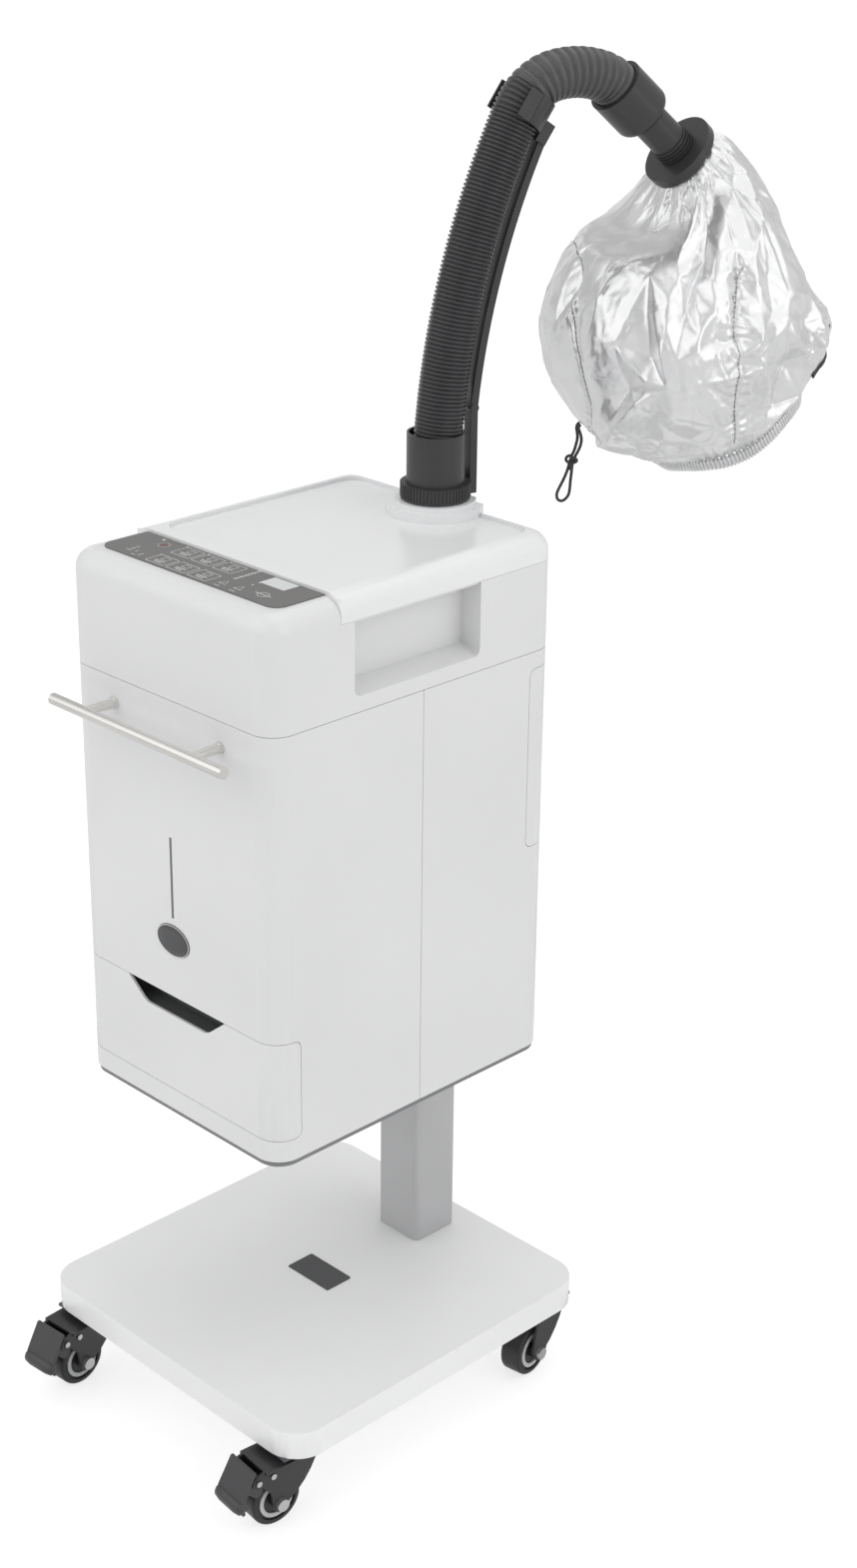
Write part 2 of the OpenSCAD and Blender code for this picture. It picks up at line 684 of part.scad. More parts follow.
socket_r = 31;
socket_bore = 18;
boiler_y = 268;
boiler_r = 58;
boiler_z = floor_z + 8;
boiler_h = 150;
duct_y = 240;
duct_r = 16;
duct_z = lid_z - 60;

module hose_socket() {
    color("#3a3b3d") place() translate([hose_x, hose_y, 0]) difference() {
        union() {
            translate([0, 0, top_z - tray_depth - wall - 2]) cylinder(r = socket_r, h = cuff_z - clear - top_z + tray_depth + wall + 2);
            translate([0, 0, lid_z - 28]) cylinder(r = 24, h = cuff_z + 14 - lid_z + 28);
            intersection() {
                translate([0, 0, lid_z + 6]) cylinder(r = socket_r + 6, h = top_z - tray_depth - wall - clear - lid_z - 6);
                translate([-hose_x, -hose_y, 0]) topped(lid_z - 20, top_z, wall + tray_depth + clear);
            }
        }
        translate([0, 0, lid_z - 40]) cylinder(r = socket_bore, h = 120);
        translate([0, 0, lid_z - 31]) cylinder(r = duct_r + 3 + run, h = 20);
    }
}

module boiler() {
    color("#b9bcbf") place() translate([0, boiler_y, boiler_z]) difference() {
        union() {
            cylinder(r = boiler_r, h = boiler_h);
            for (a = [45:90:315]) rotate([0, 0, a]) translate([boiler_r - 12, -8, -8]) cube([12, 16, 9]);
            translate([0, duct_y - boiler_y, boiler_h - 1]) cylinder(r = duct_r + 5, h = 13);
        }
        translate([0, 0, wall]) cylinder(r = boiler_r - wall, h = boiler_h - 2 * wall);
        translate([0, duct_y - boiler_y, boiler_h - 10]) cylinder(r = duct_r, h = 40);
        translate([0, duct_y - boiler_y, boiler_h + 2]) cylinder(r = duct_r + 3 + run, h = 40);
        translate([0, 0, 20]) rotate([0, -90, 0]) cylinder(r = 6 + run, h = 80);
    }
}

// Electric heater: a rod that enters the boiler through its side wall and carries a spiral coil
module heater_element() {
    color("#8d8f92") place() translate([0, boiler_y, boiler_z + 20]) rotate([0, -90, 0]) {
        translate([0, 0, -40]) cylinder(r = 5, h = boiler_r + 35);
        translate([0, 0, boiler_r - 10]) cylinder(r = 6, h = 16);
        translate([0, 0, boiler_r + clear]) cylinder(r = 12, h = 10);
        for (z = [-36:8:28]) translate([0, 0, z]) cylinder(r = 11, h = 4);
    }
}

duct_block = 21;

module steam_duct() {
    bottom = boiler_z + boiler_h + 3;
    top = lid_z - 13;
    l = norm([hose_x, hose_y - duct_y]);
    r = duct_r + 3;
    color("#d9d6cf") place() translate([0, duct_y, 0]) rotate([0, 0, -atan2(hose_x, hose_y - duct_y)]) difference() {
        union() {
            translate([0, 0, bottom]) cylinder(r = r, h = duct_z - bottom);
            rotate([-90, 0, 0]) translate([0, -duct_z, 0]) cylinder(r = r, h = l);
            translate([0, l, duct_z]) cylinder(r = r, h = top - duct_z);
            for (y = [0, l]) translate([0, y, duct_z]) cube(2 * duct_block, center = true);
        }
        translate([0, 0, bottom - 1]) cylinder(r = duct_r, h = duct_z + 13 - bottom);
        rotate([-90, 0, 0]) translate([0, -duct_z, 0]) cylinder(r = duct_r - 1, h = l);
        translate([0, l, duct_z - 12]) cylinder(r = duct_r, h = top + 13 - duct_z);
    }
}

module water_pump() {
    color("#3f4143") place() {
        slab(75, 125, 250, 300, floor_z, floor_z + 6);
        translate([100, 275, floor_z + 6]) cylinder(r = 19, h = 42);
        translate([100, 275, floor_z + 48]) cylinder(r = 5, h = 10);
    }
}

inlet_x = 95;
inlet_z = cab_z + 45;
switch_z = inlet_z + 27;
inlet_w = 30;
inlet_top = switch_z + 13;
inlet_bottom = inlet_z - 13;

module power_inlet() {
    color("#2a2b2c") place() difference() {
        union() {
            slab(inlet_x - inlet_w / 2, inlet_x + inlet_w / 2, cab_d - 24, cab_d, inlet_bottom, inlet_top);
            slab(inlet_x - inlet_w / 2 - 4, inlet_x + inlet_w / 2 + 4, cab_d, cab_d + 2, inlet_bottom - 4, inlet_top + 4);
        }
        slab(inlet_x - 12, inlet_x + 12, cab_d - 16, cab_d + 3, inlet_z - 8, inlet_z + 8);
        slab(inlet_x - 11.4, inlet_x + 11.4, cab_d - 16, cab_d + 3, switch_z - 9.6, switch_z + 9.6);
        translate([inlet_x, cab_d - 6, switch_z]) rotate([0, 90, 0]) cylinder(r = 1.6 + run, h = 27.4, center = true);
    }
    color("#c6c8ca") place() for (x = [-7, 0, 7])
        translate([inlet_x + x - 1, cab_d - 17, inlet_z + (x == 0 ? -2.5 : -6.5)]) cube([2, 13, 4]);
}

// The rocker turns on a pin through the housing's side walls
module power_switch() {
    color("#232425") place() translate([inlet_x, cab_d - 6, switch_z]) rotate([0, 90, 0]) {
        translate([0, 0, -11]) linear_extrude(22) polygon([[-7, -4], [7, -4], [7.4, 6.4], [0, 7.4], [-7.4, 8.6]]);
        cylinder(r = 1.6, h = 27, center = true);
    }
}

// Drawer

box_top = drawer_z - 33;
box_z = drawer_z0 + 2;
box_w = 268;

module drawer_front() {
    color("#eceeef") place() difference() {
        intersection() {
            skin(drawer_z0, drawer_z - seam);
            wrap(-1, drawer_wrap, drawer_z0, drawer_z - seam, corner_cut);
        }
        pull_cut(0);
    }
}

// Trapezoid finger cut-out in the top edge of the drawer's front
module pull_cut(grow) {
    translate([0, 20, drawer_z]) rotate([90, 0, 0]) linear_extrude(40)
        polygon([[-76 - grow, 1], [-76 - grow, -seam], [-52 - grow, -20 - grow], [-45 - grow, -23 - grow],
            [45 + grow, -23 - grow], [52 + grow, -20 - grow], [76 + grow, -seam], [76 + grow, 1]]);
}

module drawer_grip() {
    color("#3f4143") place() difference() {
        slab(-84, 84, wall, 30, drawer_z - 30, drawer_z - seam);
        slab(-81, 81, wall - 1, 27, drawer_z - 27, drawer_z + 1);
    }
}

module drawer_box() {
    color("#dfe1e2") place() {
        intersection() {
            block(box_z, box_top, wall + clear);
            difference() {
                slab(-box_w / 2, box_w / 2, 0, 205, box_z, box_top);
                intersection() {
                    slab(-box_w / 2 + 2.5, box_w / 2 - 2.5, 0, 202.5, box_z + 2.5, box_top + 1);
                    block(box_z, box_top + 1, wall + clear + 2.5);
                }
            }
        }
        for (s = [-1, 1]) translate([s * (box_w / 2 + 1.7), 105, rail_z + clear + 3]) cube([3.6, 190, 6], center = true);
    }
}

rail_z = floor_z + 40;

module drawer_runners() {
    color("#b9bcbf") place() for (s = [-1, 1]) mirror([s < 0 ? 1 : 0, 0, 0]) {
        slab(box_w / 2 + 4, box_w / 2 + 6, 36, 215, floor_z, rail_z + 10);
        slab(box_w / 2 + clear, box_w / 2 + 4.5, 36, 215, rail_z - 2, rail_z);
        slab(box_w / 2 + clear, box_w / 2 + 4.5, 36, 215, rail_z + 6 + 2 * clear, rail_z + 8 + 2 * clear);
        slab(box_w / 2 - 10, box_w / 2 + 6, 36, 215, floor_z, floor_z + 2);
    }
}

// Rear water tank

tank_w = 220;
tank_y = 268;
tank_z = [door_z[0] + 12, door_z[1] - 12];

module tank_door() {
    color("#e4e6e7") place() intersection() {
        skin(door_z[0], door_z[1]);
        wrap(cab_d + 1, door_y, door_z[0], door_z[1], corner_cut);
    }
}

module water_tank() {
    color("#cfe0e6") place() difference() {
        union() {
            slab(-tank_w / 2, tank_w / 2, tank_y, cab_d - wall, tank_z[0], tank_z[1]);
        }
        slab(-tank_w / 2 + 2.5, tank_w / 2 - 2.5, tank_y + 2.5, cab_d - wall - 2.5, tank_z[0] + 2.5, tank_z[1] - 2.5);
        translate([60, 300, tank_z[1] - 5]) cylinder(r = 18, h = 10);
    }
}

module tank_shelf() {
    color("#54575a") place() {
        slab(-tank_w / 2 - 3, tank_w / 2 + 3, tank_y - 3, door_y - 6, tank_z[0] - 3, tank_z[0] - clear);
        for (s = [-1, 1]) mirror([s < 0 ? 1 : 0, 0, 0]) {
            slab(tank_w / 2 + clear, tank_w / 2 + 3, tank_y - 3, door_y - 6, tank_z[0] - 1, tank_z[0] + 30);
            slab(tank_w / 2 + 2, cab_w / 2 - wall, 300, 303, tank_z[0] - 3, tank_z[0] + 30);
        }
    }
}

// Collar, arm and hose

module lock_ring() {
    teeth = 60;
    color("#3b3c3e") place() translate([hose_x, hose_y, ring_z]) difference() {
        linear_extrude(ring_h) {
            circle(ring_d / 2 - 0.8);
            for (i = [0:teeth - 1]) rotate(i * 360 / teeth) translate([ring_d / 2 - 1, 0]) square([2, 1.9], center = true);
        }
        translate([0, 0, -1]) cylinder(r = socket_r + run, h = 10.3);
        cylinder(r = cuff_r + run, h = ring_h + 2);
    }
}

module lower_cuff() {
    color("#434446") in_arm() difference() {
        union() {
            translate([0, 0, cuff_z]) cylinder(r = cuff_r, h = cuff_top - cuff_z);
            translate([0, 0, cuff_z]) cylinder(r = socket_r - 0.2, h = 3.2);
        }
        translate([0, 0, cuff_z - 1]) cylinder(r = 24 + run, h = 30);
        translate([0, 0, hose_z - hose_r * sin(lean) - clear]) cylinder(r = hose_r + 2.6, h = 60);
        translate([0, 0, hose_z - 8]) cylinder(r = bore_r, h = 20);
    }
}

// Closed skin round a list of rings that all have n points
function band(a, b, n) = [for (j = [0:n - 1]) each [
    [a + j, a + (j + 1) % n, b + (j + 1) % n],
    [a + j, b + (j + 1) % n, b + j]]];

module sleeve(rings) {
    n = len(rings[0]);
    m = len(rings);
    polyhedron(points = [for (r = rings) each r],
        faces = [for (i = [0:m - 1]) each band(i * n, ((i + 1) % m) * n, n)]);
}

hose_sides = 8;
function hose_ring(s, r) =
    let (p = hose_at(s))
    [for (j = [0:hose_sides - 1]) let (a = (j + 0.5) * 360 / hose_sides)
        [r * sin(a), p[0] + r * cos(a) * cos(p[2]), p[1] - r * cos(a) * sin(p[2])]];

// Ribbed hose from s0 to s1: each rib is a crest ring and a root ring, and the bore is smooth
module ribbed(s0, s1, pitch, dir = 1) {
    root = hose_r - 2.4;
    ribs = floor((s1 - s0) / pitch);
    step = (s1 - s0) / ribs;
    bore_step = 12;
    bores = ceil((s1 - s0) / bore_step);
    sleeve(concat(
        [for (i = [0:ribs - 1]) each [hose_ring(s0 + i * step, root), hose_ring(s0 + (i + 0.5) * step, hose_r)]],
        [hose_ring(s1, root)],
        [for (i = [0:bores]) hose_ring(s1 - i * (s1 - s0) / bores, bore_r)]));
}

module lower_hose() {
    color("#3a3b3d") in_arm() ribbed(0, split_s, rib_pitch);
}

module upper_hose() {
    color("#3f4042") in_arm() ribbed(split_s, hose_l, stretched_pitch);
}

// The arm's long curve has the hose's own centre; its foot is a ring under the lock ring
module support_arm() {
    start = hose_at(straight_l);
    centre = [start[0] + arm_bend * cos(lean), start[1] - arm_bend * sin(lean)];
    bar_r = arm_bend - arm_off;
    bar_t = 8;
    bar_w = 14;
    foot_u = centre[0] - bar_r * cos(lean);
    foot_top = centre[1] + bar_r * sin(lean);
    end = BENDS[0][1];
    clip = hose_at(clip_s);
    color("#2f3032") in_arm() {
        difference() {
            union() {
                translate([0, 0, collar_z + clear]) cylinder(r = 36, h = ring_z - clear - collar_z - clear);
                translate([-bar_w / 2, 20, collar_z + clear]) cube([bar_w, foot_u + bar_t / 2 - 20, ring_z - 2 * clear - collar_z]);
            }
            translate([0, 0, collar_z - 5]) cylinder(r = socket_r + run, h = 20);
        }
        translate([-bar_w / 2, foot_u - bar_t / 2, collar_z + clear]) cube([bar_w, bar_t, foot_top - collar_z - clear]);
        translate([-bar_w / 2 - 0.8, foot_u, foot_top]) rotate([0, 90, 0]) cylinder(r = bar_t / 2 + 0.8, h = bar_w + 1.6);
        translate([0, centre[0], centre[1]]) rotate([90, 0, 0]) rotate([0, 90, 0]) rotate([0, 0, 180 - end])
            rotate_extrude(angle = end - lean, $fn = 720)
                translate([bar_r - bar_t / 2, -bar_w / 2]) square([bar_t, bar_w]);
        translate([0, clip[0], clip[1]]) rotate([-clip[2], 0, 0]) clip_shape();
    }
}

// Clip in its own frame: z along the hose, y towards the arm
module clip_shape() {
    l = 30;
    r = hose_r + 2.4;
    t = 3;
    translate([0, 0, -l / 2]) linear_extrude(l) {
        difference() {
            circle(r + t);
            circle(r);
            translate([-40, -80]) square([80, 80]);
        }
        for (s = [-1, 1]) translate([s * (r + t / 2), -7]) square([t - 0.6, 16], center = true);
    }
    translate([-9, r + t - 1, -l / 2 - 6]) cube([18, arm_off - r - t + 7, 22]);
}

// Upper cuff: mouth for the hose, shoulder, and the nozzle's tube with its thread
module upper_cuff() {
    body_l = 50;
    color("#48494b") in_nozzle() rotate_extrude() difference() {
        union() {
            square([cuff_r, body_l - 8]);
            square([cuff_r - 8, body_l]);
            translate([cuff_r - 8, body_l - 8]) circle(8);
            square([nozzle_d / 2, nozzle_l + flange_t + 2]);
            for (i = [0:3]) translate([0, nozzle_l - 15 + i * 4]) square([nozzle_d / 2 + 1.6, 2]);
        }
        translate([0, -20]) square([hose_r + 0.8, head_seat + 21]);
        square([bore_r - 3, 200]);
        translate([-100, -100]) square([100, 400]);
    }
}

module hood_flange() {
    color("#4c4d4f") in_nozzle() difference() {
        union() {
            translate([0, 0, nozzle_l + clear]) cylinder(d = flange_d, h = flange_t - clear);
            translate([0, 0, nozzle_l + 1]) cylinder(r = spigot_r, h = flange_t + 5);
        }
        translate([0, 0, nozzle_l - 5]) cylinder(r = nozzle_d / 2 + run, h = 60);
    }
}

spigot_r = neck_r - fabric - clear - 0.2;

// Catmull-Rom value at t through the hood's sections, for one of their columns
function hood_value(t, c) =
    let (i = min(floor(t), len(HOOD) - 2), f = t - i, last = len(HOOD) - 1,
        p0 = HOOD[max(i - 1, 0)][c], p1 = HOOD[i][c], p2 = HOOD[i + 1][c], p3 = HOOD[min(i + 2, last)][c])
    p1 + 0.5 * f * (p2 - p0 + f * (2 * p0 - 5 * p1 + 4 * p2 - p3 + f * (3 * (p1 - p2) + p3 - p0)));

// Main folds: broad upright pleats that start below the neck and die out above the hem
function fold(a, t) = 0.022 * sin(30 * t) * (sin(7 * a) + 0.6 * sin(11 * a + 40 * t)) * (t < 5.4 ? 1 : 0.5);

function hood_ring(t, inset, drop = 0) =
    let (u = neck_p[0] + hood_value(t, 0), z = neck_p[1] + hood_value(t, 1), b = hood_value(t, 2),
        r = hood_value(t, 3))
    [for (j = [0:hood_sides - 1]) let (a = j * 360 / hood_sides, q = r * (1 + fold(a, t)) - inset)
        [q * sin(a), u - q * cos(a) * sin(b) + drop * cos(b), z + q * cos(a) * cos(b) + drop * sin(b)]];

module hood() {
    last = len(HOOD) - 1;
    inner = 10;
    color("#c9cbcd") in_arm() sleeve(concat(
        [for (i = [0:hood_rings]) hood_ring(i * last / hood_rings, 0)],
        [for (i = [inner:-1:0]) hood_ring(i * last / inner, fabric)]));
}

module hood_hem() {
    last = len(HOOD) - 1;
    color("#b9bbbd") in_arm() sleeve([hood_ring(last, -1.2, 0.2), hood_ring(last, -1.6, hem_w / 2),
        hood_ring(last, 2, hem_w), hood_ring(last, 5, hem_w), hood_ring(last, 4.4, hem_w / 2), hood_ring(last, 4, 0.2)]);
}

// Round tube along the drawcord's route
cord_sides = 8;
function unit(v) = v / norm(v);
function cord_dir(i) = unit(CORD[min(i + 1, len(CORD) - 1)] - CORD[max(i - 1, 0)]);
function cord_ring(i) =
    let (d = cord_dir(i), e = unit(cross(d, [1, 0, 0])), g = cross(d, e))
    [for (j = [0:cord_sides - 1]) let (a = j * 360 / cord_sides) CORD[i] + cord_d / 2 * (cos(a) * e + sin(a) * g)];

module drawcord() {
    n = cord_sides;
    m = len(CORD);
    color("#3a3a3b") in_arm() translate([0, neck_p[0], neck_p[1]]) polyhedron(
        points = [for (i = [0:m - 1]) each cord_ring(i)],
        faces = concat([[for (j = [0:n - 1]) n - 1 - j]], [[for (j = [0:n - 1]) (m - 1) * n + j]],
            [for (i = [0:m - 2], j = [0:n - 1]) each [
                [i * n + j, i * n + (j + 1) % n, (i + 1) * n + (j + 1) % n],
                [i * n + j, (i + 1) * n + (j + 1) % n, (i + 1) * n + j]]]));
}

module cord_knot() {
    color("#2f2f30") in_arm() translate([0, neck_p[0], neck_p[1]]) translate(knot_p) sphere(knot_r, $fn = 32);
}

base_board();
column_foot();
column();
column_head();
frame_screws();
caster_plates();
fork(0);  // fork_front_left
fork(1);  // fork_front_right
fork(2);  // fork_rear_left
fork(3);  // fork_rear_right
wheel(0);  // wheel_front_left
wheel(1);  // wheel_front_right
wheel(2);  // wheel_rear_left
wheel(3);  // wheel_rear_right
axle(0);  // axle_front_left
axle(1);  // axle_front_right
axle(2);  // axle_rear_left
axle(3);  // axle_rear_right
brake_pedal(0);  // brake_pedal_left
brake_pedal(1);  // brake_pedal_right
bottom_pan();
chassis_plate();
front_shell();
rear_shell();
upper_housing();
top_cover();
handle_bar();
handle_posts();
badge();
light_strip();
membrane_panel();
display_window();
control_board();
hose_socket();
boiler();
heater_element();
steam_duct();
water_pump();
power_inlet();
power_switch();
drawer_front();
drawer_box();
drawer_grip();
drawer_runners();
water_tank();
tank_door();
tank_shelf();
label_plate();
lock_ring();
lower_cuff();
lower_hose();
support_arm();
upper_hose();
upper_cuff();
hood_flange();
hood();
hood_hem();
drawcord();
cord_knot();
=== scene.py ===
import math

import bmesh
import bpy
import numpy as np
from mathutils import Matrix, Vector, geometry, noise


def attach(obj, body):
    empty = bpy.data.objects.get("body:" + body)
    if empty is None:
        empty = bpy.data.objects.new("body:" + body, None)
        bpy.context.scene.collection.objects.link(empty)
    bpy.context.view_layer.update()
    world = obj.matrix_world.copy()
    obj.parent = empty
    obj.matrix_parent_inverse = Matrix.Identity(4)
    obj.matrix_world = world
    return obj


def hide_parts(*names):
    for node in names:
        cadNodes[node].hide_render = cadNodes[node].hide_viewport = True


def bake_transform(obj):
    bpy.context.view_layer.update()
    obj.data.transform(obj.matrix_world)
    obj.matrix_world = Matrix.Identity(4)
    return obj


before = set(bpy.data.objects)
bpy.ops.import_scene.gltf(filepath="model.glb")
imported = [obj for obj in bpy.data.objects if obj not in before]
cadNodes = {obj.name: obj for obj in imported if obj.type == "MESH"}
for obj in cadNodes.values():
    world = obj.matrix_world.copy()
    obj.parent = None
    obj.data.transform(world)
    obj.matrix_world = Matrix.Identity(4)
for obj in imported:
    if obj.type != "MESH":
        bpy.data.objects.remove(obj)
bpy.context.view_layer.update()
print("frame loaded,", len(cadNodes), "nodes")

# Where the cabinet's front centre and the collar stand in the shared frame, in millimetres
place = {"originX": 15.9882, "originY": 356.548, "collarX": 10, "collarY": 352, "armTurn": 15}


def cab(x, y, z):
    return Vector(((x - place["originX"]) / 1000, (y - place["originY"]) / 1000, z / 1000))


def onArm(across, reach, z):
    turn = math.radians(place["armTurn"])
    return cab(place["collarX"] + across * math.cos(turn) + reach * math.sin(turn),
               place["collarY"] - across * math.sin(turn) + reach * math.cos(turn), z)


# Camera, solved from the photograph's edges
camera = {"at": (1.77716, -1.781498, 1.7567), "azimuth": 45.18, "elevation": 23.30, "roll": 0.663, "lens": 58.45}


def makeCamera():
    a, e, r = (math.radians(camera[k]) for k in ("azimuth", "elevation", "roll"))
    back = Vector((math.sin(a) * math.cos(e), -math.cos(a) * math.cos(e), math.sin(e)))
    right = (-back).cross(Vector((0, 0, 1))).normalized()
    up = right.cross(-back)
    right, up = math.cos(r) * right + math.sin(r) * up, math.cos(r) * up - math.sin(r) * right
    data = bpy.data.cameras.new("camera")
    data.lens, data.sensor_width = camera["lens"], 36
    data.clip_start, data.clip_end = 0.05, 50
    obj = bpy.data.objects.new("camera", data)
    bpy.context.scene.collection.objects.link(obj)
    obj.matrix_world = Matrix((
        (right.x, up.x, back.x, camera["at"][0]), (right.y, up.y, back.y, camera["at"][1]),
        (right.z, up.z, back.z, camera["at"][2]), (0, 0, 0, 1)))
    bpy.context.scene.camera = obj


makeCamera()


# Shader helpers
class Wire:
    # A socket that takes part in ordinary arithmetic: each operator adds a Math node
    def __init__(self, finish, socket):
        self.finish, self.socket = finish, socket

    def math(self, operation, *others, swapped=False):
        terms = [*others, self] if swapped else [self, *others]
        return self.finish.node("ShaderNodeMath", {"operation": operation}, dict(enumerate(terms)))

    def __add__(self, other): return self.math("ADD", other)
    def __radd__(self, other): return self.math("ADD", other)
    def __sub__(self, other): return self.math("SUBTRACT", other)
    def __rsub__(self, other): return self.math("SUBTRACT", other, swapped=True)
    def __mul__(self, other): return self.math("MULTIPLY", other)
    def __rmul__(self, other): return self.math("MULTIPLY", other)
    def __abs__(self): return self.math("ABSOLUTE")
    def above(self, other): return self.math("GREATER_THAN", other)
    def least(self, other): return self.math("MINIMUM", other)
    def most(self, other): return self.math("MAXIMUM", other)


class Finish:
    # One material, or the world: its node tree, a maker for any node, and the surface shader
    def __init__(self, name, world=False):
        self.material = (bpy.data.worlds if world else bpy.data.materials).new(name)
        self.material.use_nodes = True
        self.tree = self.material.node_tree
        self.tree.nodes.clear()
        self.output = self.tree.nodes.new("ShaderNodeOutputWorld" if world else "ShaderNodeOutputMaterial")

    def node(self, kind, settings=None, values=None, out=0):
        made = self.tree.nodes.new(kind)
        for key, value in (settings or {}).items():
            if key == "stops":
                ramp = made.color_ramp
                while len(ramp.elements) < len(value):
                    ramp.elements.new(0.5)
                for element, (at, shade) in zip(ramp.elements, value):
                    element.position = at
                    element.color = (*shade, 1) if hasattr(shade, "__len__") else (shade, shade, shade, 1)
            else:
                setattr(made, key, value)
        for key, value in (values or {}).items():
            if isinstance(value, Wire):
                self.tree.links.new(value.socket, made.inputs[key])
            else:
                made.inputs[key].default_value = value
        return Wire(self, made.outputs[out])

    def where(self):
        return self.node("ShaderNodeTexCoord", out="Object")

    def stretched(self, scale):
        return self.node("ShaderNodeMapping", {}, {"Vector": self.where(), "Scale": scale})

    def cloud(self, scale, detail=3, at=None, rough=0.5):
        values = {"Vector": at or self.where(), "Scale": scale, "Detail": detail, "Roughness": rough}
        return self.node("ShaderNodeTexNoise", {}, values)

    def blend(self, share, a, b):
        asColour = lambda c: c if isinstance(c, Wire) else (*c, 1)
        made = self.node("ShaderNodeMix", {"data_type": "RGBA"}, {0: share, 6: asColour(a), 7: asColour(b)}, out=2)
        return made

    def bump(self, height, strength, distance, under=None):
        values = {"Height": height, "Strength": strength, "Distance": distance}
        if under is not None:
            values["Normal"] = under
        return self.node("ShaderNodeBump", {}, values)

    def mixed(self, share, a, b):
        return self.node("ShaderNodeMixShader", {}, {0: share, 1: a, 2: b})

    def surface(self, **values):
        named = {k.replace("_", " "): v for k, v in values.items()}
        shader = self.node("ShaderNodeBsdfPrincipled", {}, named)
        self.tree.links.new(shader.socket, self.output.inputs["Surface"])
        return self.material


# Finishes that are named by colour, roughness and grain
finishes = {
    "shell": {"colour": (0.68, 0.682, 0.685), "roughness": 0.22, "grain": 420},
    "board": {"colour": (0.81, 0.812, 0.816), "roughness": 0.22, "grain": 260},
    "darkPlastic": {"colour": (0.034, 0.034, 0.036), "roughness": 0.34, "grain": 900},
    "hose": {"colour": (0.026, 0.026, 0.028), "roughness": 0.3, "grain": 1200},
    "film": {"colour": (0.135, 0.132, 0.13), "roughness": 0.38, "grain": 1600},
    "steel": {"colour": (0.8, 0.785, 0.76), "roughness": 0.24},
    "cloth": {"colour": (0.79, 0.792, 0.798), "roughness": 0.28, "weave": 1500},
}


def mouldedPlastic(name, colour, roughness, grain, gloss=0.5, wear=0.03, depth=0.00004):
    f = Finish(name)
    broad, fine = f.cloud(6, 3), f.cloud(grain, 2)
    shade = f.blend(broad, tuple(c * (1 - wear) for c in colour), tuple(min(1, c * (1 + wear)) for c in colour))
    return f.surface(Base_Color=shade, Roughness=roughness - 0.04 + broad * 0.05 + fine * 0.04,
                     Specular_IOR_Level=gloss, Normal=f.bump(fine, 0.12, depth))


def paintedMetal(name, colour, roughness, metallic=0.0, flake=700, edge=0.05):
    f = Finish(name)
    broad, fine = f.cloud(9, 4), f.cloud(flake, 3, rough=0.7)
    shade = f.blend(fine, tuple(c * (1 - edge) for c in colour), tuple(min(1, c * (1 + edge)) for c in colour))
    return f.surface(Base_Color=f.blend(broad * 0.5, shade, tuple(c * 0.93 for c in colour)),
                     Roughness=roughness + broad * 0.06 - 0.03, Metallic=metallic,
                     Normal=f.bump(fine, 0.15, 0.00005))


def brushedSteel(name, colour, roughness, along):
    f = Finish(name)
    scale = [900, 900, 900]
    scale["xyz".index(along)] = 14
    lines = f.cloud(1, 4, at=f.stretched(tuple(scale)), rough=0.65)
    shade = f.blend(lines, tuple(c * 0.86 for c in colour), tuple(min(1, c * 1.1) for c in colour))
    return f.surface(Base_Color=shade, Metallic=1.0, Roughness=roughness - 0.06 + lines * 0.14,
                     Normal=f.bump(lines, 0.2, 0.00004))


def clearTank(name, colour):
    f = Finish(name)
    cloud = f.cloud(30, 4)
    return f.surface(Base_Color=f.blend(cloud, colour, tuple(c * 0.9 for c in colour)),
                     Roughness=0.2 + cloud * 0.15, Normal=f.bump(cloud, 0.1, 0.0002))


def circuitGreen(name):
    f = Finish(name)
    tracks = f.node("ShaderNodeTexVoronoi", {"distance": "MANHATTAN"}, {"Vector": f.where(), "Scale": 160})
    mask = tracks.above(0.28)
    return f.surface(Base_Color=f.blend(mask, (0.02, 0.12, 0.06), (0.04, 0.24, 0.12)), Roughness=0.35 + mask * 0.2)


def hoseSkin(name, colour, roughness, grain):
    f = Finish(name)
    dust, fine = f.cloud(25, 4), f.cloud(grain, 2)
    shade = f.blend(dust, colour, tuple(c * 1.5 for c in colour))
    return f.surface(Base_Color=shade, Roughness=roughness + dust * 0.1 - 0.05, Specular_IOR_Level=0.55,
                     Normal=f.bump(fine, 0.2, 0.00006))


def metallisedCloth(name, colour, roughness, weave, rumple=0.22):
    # Thin aluminised nylon: plain weave under the film, with soft dents that the mesh is too coarse for
    f = Finish(name)
    fine, soft, broad = f.cloud(weave, 2), f.cloud(38, 3, rough=0.5), f.cloud(9, 3)
    dents = abs(soft - 0.5) * 2
    under = f.bump(dents, rumple, 0.003)
    shade = f.blend(broad, tuple(c * 0.9 for c in colour), tuple(min(1, c * 1.1) for c in colour))
    return f.surface(Base_Color=shade, Metallic=0.8, Roughness=roughness + broad * 0.1 - 0.05,
                     Normal=f.bump(fine, 0.08, 0.00005, under))


def braid(name):
    f = Finish(name)
    twist = f.node("ShaderNodeTexWave", {"bands_direction": "DIAGONAL"},
                   {"Vector": f.where(), "Scale": 260, "Distortion": 1.5})
    return f.surface(Base_Color=f.blend(twist, (0.018, 0.018, 0.019), (0.07, 0.07, 0.072)), Roughness=0.75,
                     Normal=f.bump(twist, 0.6, 0.0003))


